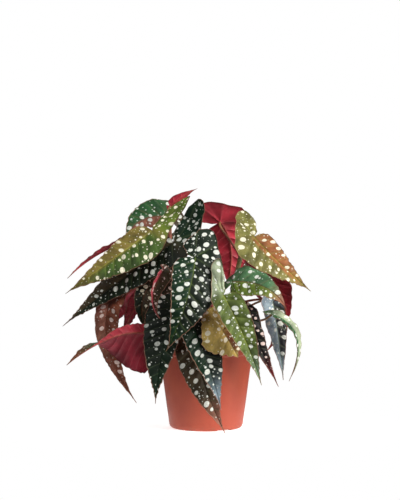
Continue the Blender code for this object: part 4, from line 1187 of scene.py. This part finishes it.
def pattern_map(row, lay):
    """Pattern coordinates of every corner, in the order of the blade's faces."""
    upper = pattern(lay.flat[lay.triangles], lay.halves, row)
    lower = pattern(lay.flat[lay.triangles[:, ::-1]], lay.halves, row)
    pairs = np.stack([lay.flat[lay.ring], lay.flat[np.roll(lay.ring, -1)]], 1)
    strip = pattern(pairs, lay.ring_half, row)[:, (0, 0, 1, 1)][:, ::row.side]
    return np.vstack([part.reshape(-1, 2) for part in (upper, lower, strip, strip)])


def bake_map(row, lay):
    """Chart coordinates of every corner: the upper side on the left, the lower side on the right and
    the two strips of the rim above them."""
    lowest, highest = lay.flat.min(0), lay.flat.max(0)
    chart = 0.01 + (lay.flat - lowest) / (highest - lowest) * (0.47, 0.94)
    around = len(lay.ring)
    step = np.arange(around + 1) / around * 0.98 + 0.01
    across = np.stack([step[:-1], step[:-1], step[1:], step[1:]], 1)
    parts = [chart[lay.triangles], chart[lay.triangles[:, ::-1]] + (0.5, 0)]
    for low, high in ((0.962, 0.976), (0.980, 0.994)):
        level = np.tile((low, high, high, low), (around, 1))
        parts.append(np.stack([across, level], -1)[:, ::row.side])
    return np.vstack([part.reshape(-1, 2) for part in parts])


def make_blade(row, s, looks):
    """One leaf blade: two faces of the bent, quilted surface and a rounded rim."""
    midrib = Midrib(row)
    lay = blade_layout(row, midrib, s)
    count, around = len(lay.flat), len(lay.ring)
    points = blade_points(row, midrib, lay, s)
    lower = lay.triangles[:, ::-1] + count
    ring, after = lay.ring, np.roll(lay.ring, -1)
    lip = np.arange(around) + 2 * count
    lip_after = np.roll(lip, -1)
    upper_rim = np.stack([ring, lip, lip_after, after], -1)[:, ::row.side]
    lower_rim = np.stack([lip, ring + count, after + count, lip_after], -1)[:, ::row.side]
    index = np.repeat((0, 1, 0, 1), (len(lay.triangles), len(lower), around, around))
    made = mesh_object("blade_" + row.name[5:], points, [lay.triangles, lower, upper_rim, lower_rim],
                       looks, index)

    tone = blade_tone(row, lay, midrib.length, s)
    # Lower-side colours; their brighter red is, on some blades, painted light shining through the blade
    # or falling on a fold.
    wine = blend(getattr(s, row.paint.under_small), getattr(s, row.paint.under),
                 ease(-2 * MM, 2 * MM, lay.flat[:, 1]))
    wine = wine * (1 + 0.25 * waves(lay.flat, 34 * MM, hash_name(row.name)))[:, None]
    beside_rib = bell(np.abs(lay.flat[:, 1]), 1.5 * MM) * past_node(lay.flat)
    wine = blend(wine, np.array(s.moss), 0.25 * beside_rib)
    add_colour(made, "Tone", np.vstack([tone, wine, tone[ring]]))
    add_colour(made, "Dot", np.tile(np.array(getattr(s, row.paint.dots)), (len(points), 1)))
    add_value(made, "Edge", np.concatenate([lay.edge, lay.edge, np.zeros(around)]))
    for name, values in (("Vein", lay.phase), ("Out", clear_of_veins(lay.flat))):
        add_value(made, name, np.concatenate([values, values, values[ring]]))
    add_map(made, "OFBake", bake_map(row, lay))
    add_map(made, "Pattern", pattern_map(row, lay))
    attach(made, "root")
    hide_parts(row.name)
    return made


# ---------------------------------------------------------------- canes, soil and pot

def cane_path(row, count):
    """Points up a cane: a parabola from the top of the soil through middle to top."""
    foot, middle, top = (np.asarray(p, float) * MM for p in row)
    start = foot + (0, 0, SOIL_LEVEL + SOIL_MOUND)
    control = 2 * (middle - 0.25 * start - 0.25 * top)
    t = np.linspace(0, 1, count)[:, None]
    return parabola(start, control, top, t)


def tube_tones(tone, sides):
    """The colours of a tube's points, from one colour a step: its rings, then its two ends."""
    ends = [np.tile(tone[k], (sides + 1, 1)) for k in (0, -1)]
    return np.vstack([np.repeat(tone, sides, axis=0), *ends])


JOINTS = 11                    # a cane's path counts this many steps, with a joint at every second
CANE_STEPS = 111
STALK_STEPS = 33
STALK_SIDES = 14
SCAR = 0.13                    # how far past a joint its scar lies, in steps of the path


def make_cane(name, look, s):
    """One cane and its stalks.  The cane's radius falls evenly and swells by a bell curve at each
    joint, over a fine scar; a stalk follows a cubic curve from the cane to the blade's node."""
    row = CANES[name]
    above = cane_path(row, CANE_STEPS)
    buried = SOIL_MOUND + 9 * MM
    path = np.vstack([above[0] - (0, 0, buried), above[0] - (0, 0, 0.5 * buried), above])
    share = np.concatenate([[0, 0], np.linspace(0, 1, CANE_STEPS)])
    radius = s.foot + (s.top - s.foot) * share
    at = share * JOINTS
    away = np.abs((at + 1) % 2 - 1) * (at > 1.0)
    away = np.where(at > 1.0, away, 1.0)
    radius = radius + s.swelling * (1 - 0.5 * share) * bell(away, 0.17)
    radius = radius - 0.35 * MM * bell(away - SCAR, 0.04)
    bodies = [tube(path, radius, s.sides)]
    ring = bell(away - SCAR, 0.06)
    tone = blend(blend(s.bark, s.bark_top, share ** 1.5), s.ring, 0.8 * ring)
    tones = [tube_tones(tone, s.sides)]
    coarse = cane_path(row, JOINTS + 1)
    for blade in LEAVES:
        if blade.cane != name:
            continue
        midrib = Midrib(blade)
        point, ahead, up = (v[0] for v in midrib.frame(np.zeros(1)))
        start = along_path(coarse, np.array([blade.at * JOINTS]))[0]
        arrive = unit(0.8 * up + 0.45 * ahead)
        end = point - up * (FRAME_BLADE / 2 + 0.2 * MM) - arrive * s.stalk_end * 0.35
        span = np.linalg.norm(end - start)
        leave = unit(unit(end - start) + np.array((0, 0, 0.25)))
        one, two = start + leave * 0.35 * span, end - arrive * 0.38 * span
        t = np.linspace(0, 1, STALK_STEPS)[:, None]
        route = ((1 - t) ** 3 * start + 3 * t * (1 - t) ** 2 * one + 3 * t * t * (1 - t) * two
                 + t ** 3 * end)
        share = t[:, 0]
        thick = s.stalk + (s.stalk_end - s.stalk) * share + 0.9 * MM * bell(share, 0.07)
        bodies.append(tube(route, np.minimum(thick, s.foot * 0.75), STALK_SIDES))
        tones.append(tube_tones(blend(s.stalk_base, s.stalk_tip, share ** 2), STALK_SIDES))
    points, quads, fans, count = [], [], [], 0
    for body in bodies:
        points.append(body[0])
        quads.append(body[1] + count)
        fans.append(body[2] + count)
        count += len(body[0])
    made = mesh_object("stems_" + name[5:], np.vstack(points), [np.vstack(quads), np.vstack(fans)],
                       [look])
    add_colour(made, "Tone", np.vstack(tones))
    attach(made, "root")
    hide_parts(name)
    return made


BAND_STEP = 1.2 * MM           # how far the pot's rim band stands out of its wall
SOIL_GAP = 0.3 * MM            # between the soil and the wall
FOOT_RING = 7 * MM             # width of the ring that the pot stands on
HEEL = 4.5 * MM                # height above which the pot's wall is straight
NOTCH_COUNT = 3
NOTCH_TURN = radians(-59)      # direction of the first notch
HOLE_COUNT = 8
HOLE_SIDES = 24


def pot_flare(pot):
    """How much the pot's wall widens for each unit of height."""
    return (pot.rim - BAND_STEP - pot.foot) / pot.height


def soil_wall(height, pot):
    """Radius of the soil's side at a height, just inside the pot's wall."""
    return pot.foot + pot_flare(pot) * height - pot.wall - SOIL_GAP


# An icosahedron, for crumbs
GOLD = (1 + 5 ** 0.5) / 2
CRUMB_POINTS = unit([(-1, GOLD, 0), (1, GOLD, 0), (-1, -GOLD, 0), (1, -GOLD, 0), (0, -1, GOLD),
                     (0, 1, GOLD), (0, -1, -GOLD), (0, 1, -GOLD), (GOLD, 0, -1), (GOLD, 0, 1),
                     (-GOLD, 0, -1), (-GOLD, 0, 1)])
CRUMB_FACES = np.array([(0, 11, 5), (0, 5, 1), (0, 1, 7), (0, 7, 10), (0, 10, 11), (1, 5, 9),
                        (5, 11, 4), (11, 10, 2), (10, 7, 6), (7, 1, 8), (3, 9, 4), (3, 4, 2),
                        (3, 2, 6), (3, 6, 8), (3, 8, 9), (4, 9, 5), (2, 4, 11), (6, 2, 10),
                        (8, 6, 7), (9, 8, 1)])
CRUMB_CORNERS = len(CRUMB_POINTS)
CRUMB_CHANCES = (0.62, 0.12, 0.26)       # of peat, perlite and bark
BARK = 2                       # bark's place among the kinds of crumb
SOIL_SIDES = 150
SOIL_RINGS = 62                # circles over the soil's top
SOIL_BOTTOM = 5.3 * MM         # height of the soil's underside
SOIL_SINK = 0.8 * MM           # how far the clods and crumbs sit below the mound


def soil_height(radius, pot):
    """Height of the mounded soil at a distance from its middle, before clods."""
    share = np.clip(radius / soil_wall(SOIL_LEVEL, pot), 0, 1)
    return SOIL_LEVEL + SOIL_MOUND * (1 - share ** 2)


def soil_crumbs(s, edge, pot):
    """Points, faces and colours of the crumbs, spread evenly over the soil and turned at random."""
    random = np.random.default_rng(5)
    count = s.crumbs
    way = random.uniform(0, 2 * pi, count)
    out = (edge - 2 * MM) * np.sqrt(random.uniform(0, 1, count))
    place = np.stack([out * np.cos(way), out * np.sin(way)], -1)
    rise = soil_height(out, pot) - SOIL_SINK
    size = s.crumb * random.uniform(0.35, 1.0, count) ** 1.6
    kind = random.choice(3, count, p=CRUMB_CHANCES)
    lump = CRUMB_POINTS[None] * random.uniform(0.65, 1.2, (count, CRUMB_CORNERS, 1))
    stretch = np.where(kind[:, None] == BARK, (1.7, 0.8, 0.5), (1.0, 1.0, 0.8))
    lump = lump * stretch[:, None] * size[:, None, None]
    spin = random.uniform(0, 2 * pi, count)[:, None]
    x = lump[..., 0] * np.cos(spin) - lump[..., 1] * np.sin(spin)
    y = lump[..., 0] * np.sin(spin) + lump[..., 1] * np.cos(spin)
    points = np.stack([x + place[:, :1], y + place[:, 1:], lump[..., 2] + rise[:, None]], -1)
    faces = CRUMB_FACES[None] + (np.arange(count) * CRUMB_CORNERS)[:, None, None]
    shades = np.array([s.peat, s.perlite, s.bark])[kind] * random.uniform(0.8, 1.5, (count, 1))
    tones = np.repeat(np.minimum(shades, 0.9), CRUMB_CORNERS, axis=0)
    return points.reshape(-1, 3), faces.reshape(-1, 3), tones


def make_soil(s, pot):
    """The soil: a turned body whose top is roughened by two fields of waves, with loose crumbs."""
    side_heights = np.array([6.5, 10, 40, 70, 86]) * MM
    wall = [(soil_wall(h, pot) - (2.5 * MM if h < 8 * MM else 0), h) for h in side_heights]
    edge = soil_wall(SOIL_LEVEL, pot) - 0.6 * MM
    top = [(r, soil_height(r, pot) - (1.2 * MM if r > edge - 1 * MM else 0))
           for r in np.linspace(edge, 0.8 * MM, SOIL_RINGS)]
    profile = [(0, SOIL_BOTTOM), (30 * MM, SOIL_BOTTOM), *wall, *top, (0, SOIL_LEVEL + SOIL_MOUND)]
    points, quads, fans = turned(profile, SOIL_SIDES)
    radius = np.hypot(points[:, 0], points[:, 1])
    on_top = (points[:, 2] > SOIL_LEVEL - 3 * MM) & (radius < edge + 0.1 * MM)
    rough = 0.65 * waves(points[:, :2], 9 * MM, 11) + 0.45 * waves(points[:, :2], 3.6 * MM, 12)
    clods = s.relief * rough * ease(edge, edge - 5 * MM, radius) - SOIL_SINK
    points[:, 2] += np.where(on_top, clods, 0)
    crumb_points, crumb_faces, crumb_tones = soil_crumbs(s, edge, pot)
    made = mesh_object("soil_top", np.vstack([points, crumb_points]),
                       [quads, fans, crumb_faces + len(points)], [soil_look(s)])
    peat = np.tile(np.array(s.peat), (len(points), 1))
    add_colour(made, "Tone", np.vstack([peat, crumb_tones]))
    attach(made, "root")
    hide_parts("soil")
    return made


def pot_profile(s):
    """Section of the pot, from the middle of the underside out, up, over the rim and back down."""
    flare = pot_flare(s)
    band = s.height - s.band

    def wall(height):
        return s.foot + flare * height

    return [(0.0, 0.0), (s.pad, 0.0), (s.pad + 2 * MM, s.channel), (s.foot - 9 * MM, s.channel),
            (s.foot - FOOT_RING, 0.0), (wall(0) - 3.0 * MM, 0.0), (wall(0) - 0.9 * MM, 1.2 * MM),
            (wall(HEEL), HEEL), *((wall(k * band), k * band) for k in (0.25, 0.5, 0.75, 1)),
            (wall(band) + BAND_STEP, band + 1.0 * MM), (s.rim, s.height - 1.2 * MM),
            (s.rim - 0.6 * MM, s.height), (wall(s.height) - s.wall, s.height),
            (wall(band) - s.wall, band), (wall(HEEL + s.floor) - s.wall, HEEL + s.floor),
            (wall(0) - s.wall - 2.4 * MM, s.channel + s.floor), (0.0, s.channel + s.floor)]


def cut(target, tools):
    """Cuts the tools out of target and removes them."""
    group = bpy.data.collections.new("cutters")
    bpy.context.scene.collection.children.link(group)
    for tool in tools:
        bpy.context.scene.collection.objects.unlink(tool)
        group.objects.link(tool)
    modifier = target.modifiers.new("Holes", "BOOLEAN")
    modifier.operation = "DIFFERENCE"
    modifier.operand_type = "COLLECTION"
    modifier.collection = group
    modifier.solver = "EXACT"
    graph = bpy.context.evaluated_depsgraph_get()
    graph.update()
    shaped = bpy.data.meshes.new_from_object(target.evaluated_get(graph))
    target.modifiers.clear()
    target.data = shaped
    for tool in tools:
        bpy.data.objects.remove(tool, do_unlink=True)
    bpy.data.collections.remove(group)


def make_pot(s):
    """The pot: a turned shell.  Within each notch's width the points of the foot below the notch's
    height are raised to it; eight round drain holes are cut through the channel."""
    points, quads, fans = turned(rounded(pot_profile(s), 0.8 * MM), s.sides)
    turn = np.arctan2(points[:, 1], points[:, 0])
    radius = np.hypot(points[:, 0], points[:, 1])
    for k in range(NOTCH_COUNT):
        away = (turn - NOTCH_TURN - 2 * pi * k / NOTCH_COUNT + pi) % (2 * pi) - pi
        away = np.abs(away) * s.foot
        lift = s.notch_depth * ease(0.5 * s.notch_width, 0.44 * s.notch_width, away)
        foot = radius > s.foot - 8.5 * MM
        points[:, 2] = np.where(foot, np.maximum(points[:, 2], lift), points[:, 2])
    pot = mesh_object("nursery_pot", points, [quads, fans], [pot_look(s)])
    middle = 0.5 * (s.pad + s.foot - FOOT_RING)
    tools = []
    for k in range(HOLE_COUNT):
        angle = 2 * pi * (k + 0.5) / HOLE_COUNT
        where = np.array((middle * np.cos(angle), middle * np.sin(angle), 0.0))
        ends = [where - (0, 0, 2 * MM), where + (0, 0, 8 * MM)]
        body = tube(ends, [s.hole, s.hole], HOLE_SIDES)
        tools.append(mesh_object("drain_%d" % k, body[0], body[1:], []))
    cut(pot, tools)
    pot.data.shade_smooth()
    pot.data.set_sharp_from_angle(angle=radians(38))
    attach(pot, "root")
    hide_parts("pot")
    return pot


# ---------------------------------------------------------------- stage

FLOOR_FADE = (0.06, 0.26)      # distances between which the floor thins out
CAMERA_X = -0.0075


def aim(made, target):
    """Turns a light or camera to look at a point."""
    made.rotation_euler = (Vector(target) - made.location).to_track_quat("-Z", "Y").to_euler()


def area_light(name, place, target, size, power, tone=(1.0, 1.0, 1.0)):
    """A soft rectangular light."""
    light = bpy.data.lights.new(name, "AREA")
    light.shape = "RECTANGLE"
    light.size, light.size_y = size
    light.energy = power
    light.color = tone
    made = bpy.data.objects.new(name, light)
    bpy.context.scene.collection.objects.link(made)
    made.location = place
    aim(made, target)
    return made


def make_stage(s):
    """Pale floor disc, four soft lights, an even room light and the camera."""
    rings, sides = 10, 96
    far = np.linspace(0.12, 0.8, rings)
    turn = circle(sides)
    points = np.stack([far[:, None] * np.cos(turn), far[:, None] * np.sin(turn),
                       np.zeros((rings, sides))], -1).reshape(-1, 3)
    points = np.vstack([points, (0, 0, 0)])
    j = np.arange(sides)
    fan = fan_faces(len(points) - 1, j, (j + 1) % sides)
    floor = mesh_object("studio_floor", points, [grid_faces(rings, sides, 0, True)[:, ::-1], fan],
                        [floor_look(s)])
    middle = (0.0, 0.0, 0.17)
    area_light("key", (1.15, -0.95, 1.05), middle, (0.7, 0.7), s.key, (1.0, 0.985, 0.96))
    area_light("fill", (-0.8, -1.2, 1.5), middle, (1.2, 1.2), s.fill)
    area_light("back", (0.2, 1.5, 1.3), middle, (1.2, 0.8), s.back)
    area_light("side", (1.2, -0.4, 0.2), (0.03, -0.04, 0.08), (0.5, 0.5), s.side, (1.0, 0.95, 0.88))

    world = bpy.data.worlds.new("studio_room")
    bpy.context.scene.world = world
    world.use_nodes = True
    n = Nodes(world.node_tree)
    world.node_tree.nodes.clear()
    room = n.add("Background", {"Color": (1.0, 1.0, 1.0), "Strength": s.room})
    seen = n.add("Background", {"Color": (1.0, 1.0, 1.0), "Strength": 1.0})
    path = n.add("LightPath")
    both = n.add("MixShader", {0: path.outputs["Is Camera Ray"], 1: room.outputs[0],
                               2: seen.outputs[0]})
    n.add("OutputWorld", {"Surface": both.outputs[0]})

    camera = bpy.data.objects.new("camera", bpy.data.cameras.new("camera"))
    bpy.context.scene.collection.objects.link(camera)
    camera.location = (CAMERA_X, -s.camera_distance, s.camera_height)
    aim(camera, (CAMERA_X, 0.0, s.aim_height))
    camera.data.lens = s.lens
    camera.data.sensor_width = 36.0
    bpy.context.scene.camera = camera
    bpy.context.scene.view_settings.view_transform = "Standard"


# ---------------------------------------------------------------- operators and panel

class BEGONIA_OT_pot(bpy.types.Operator):
    """Builds the nursery pot"""
    bl_idname = "begonia.pot"
    bl_label = "Pot"

    def execute(self, context):
        make_pot(context.scene.begonia_pot)
        return {"FINISHED"}


class BEGONIA_OT_soil(bpy.types.Operator):
    """Builds the potting soil with its crumbs"""
    bl_idname = "begonia.soil"
    bl_label = "Soil"

    def execute(self, context):
        make_soil(context.scene.begonia_soil, context.scene.begonia_pot)
        return {"FINISHED"}


class BEGONIA_OT_canes(bpy.types.Operator):
    """Builds the four canes with their leaf stalks"""
    bl_idname = "begonia.canes"
    bl_label = "Canes"

    def execute(self, context):
        look = cane_look()
        for name in CANES:
            make_cane(name, look, context.scene.begonia_cane)
        return {"FINISHED"}


class BEGONIA_OT_blades(bpy.types.Operator):
    """Builds every leaf blade"""
    bl_idname = "begonia.blades"
    bl_label = "Leaf blades"

    def execute(self, context):
        settings = context.scene.begonia_blade
        looks = [leaf_top_look(settings), leaf_under_look(settings)]
        for row in LEAVES:
            make_blade(row, settings, looks)
        return {"FINISHED"}


class BEGONIA_OT_stage(bpy.types.Operator):
    """Makes the studio floor, lights and camera"""
    bl_idname = "begonia.stage"
    bl_label = "Stage"

    def execute(self, context):
        make_stage(context.scene.begonia_stage)
        return {"FINISHED"}


OPERATORS = (BEGONIA_OT_pot, BEGONIA_OT_soil, BEGONIA_OT_canes, BEGONIA_OT_blades, BEGONIA_OT_stage)
SETTINGS = {"begonia_pot": BegoniaPotSettings, "begonia_soil": BegoniaSoilSettings,
            "begonia_cane": BegoniaCaneSettings, "begonia_blade": BegoniaBladeSettings,
            "begonia_stage": BegoniaStageSettings}


class BEGONIA_PT_panel(bpy.types.Panel):
    """Sidebar panel with the settings and a button for each piece"""
    bl_idname = "BEGONIA_PT_panel"
    bl_label = "Polka Dot Begonia"
    bl_space_type = "VIEW_3D"
    bl_region_type = "UI"
    bl_category = "Begonia"

    def draw(self, context):
        for name, kind in SETTINGS.items():
            box = self.layout.box()
            box.label(text=name.replace("begonia_", "").capitalize())
            for key in kind.__annotations__:
                box.prop(getattr(context.scene, name), key)
        for operator in OPERATORS:
            self.layout.operator(operator.bl_idname)


def register():
    """Adds the settings, the operators and the panel to Blender."""
    for kind in (*SETTINGS.values(), *OPERATORS, BEGONIA_PT_panel):
        bpy.utils.register_class(kind)
    for name, kind in SETTINGS.items():
        setattr(bpy.types.Scene, name, PointerProperty(type=kind))


def unregister():
    """Takes them out again."""
    for name in SETTINGS:
        delattr(bpy.types.Scene, name)
    for kind in (BEGONIA_PT_panel, *reversed(OPERATORS), *SETTINGS.values()):
        bpy.utils.unregister_class(kind)


def main():
    """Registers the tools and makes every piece."""
    register()
    bpy.ops.begonia.pot()
    bpy.ops.begonia.soil()
    bpy.ops.begonia.canes()
    bpy.ops.begonia.blades()
    bpy.ops.begonia.stage()


if __name__ == "__main__":
    main()
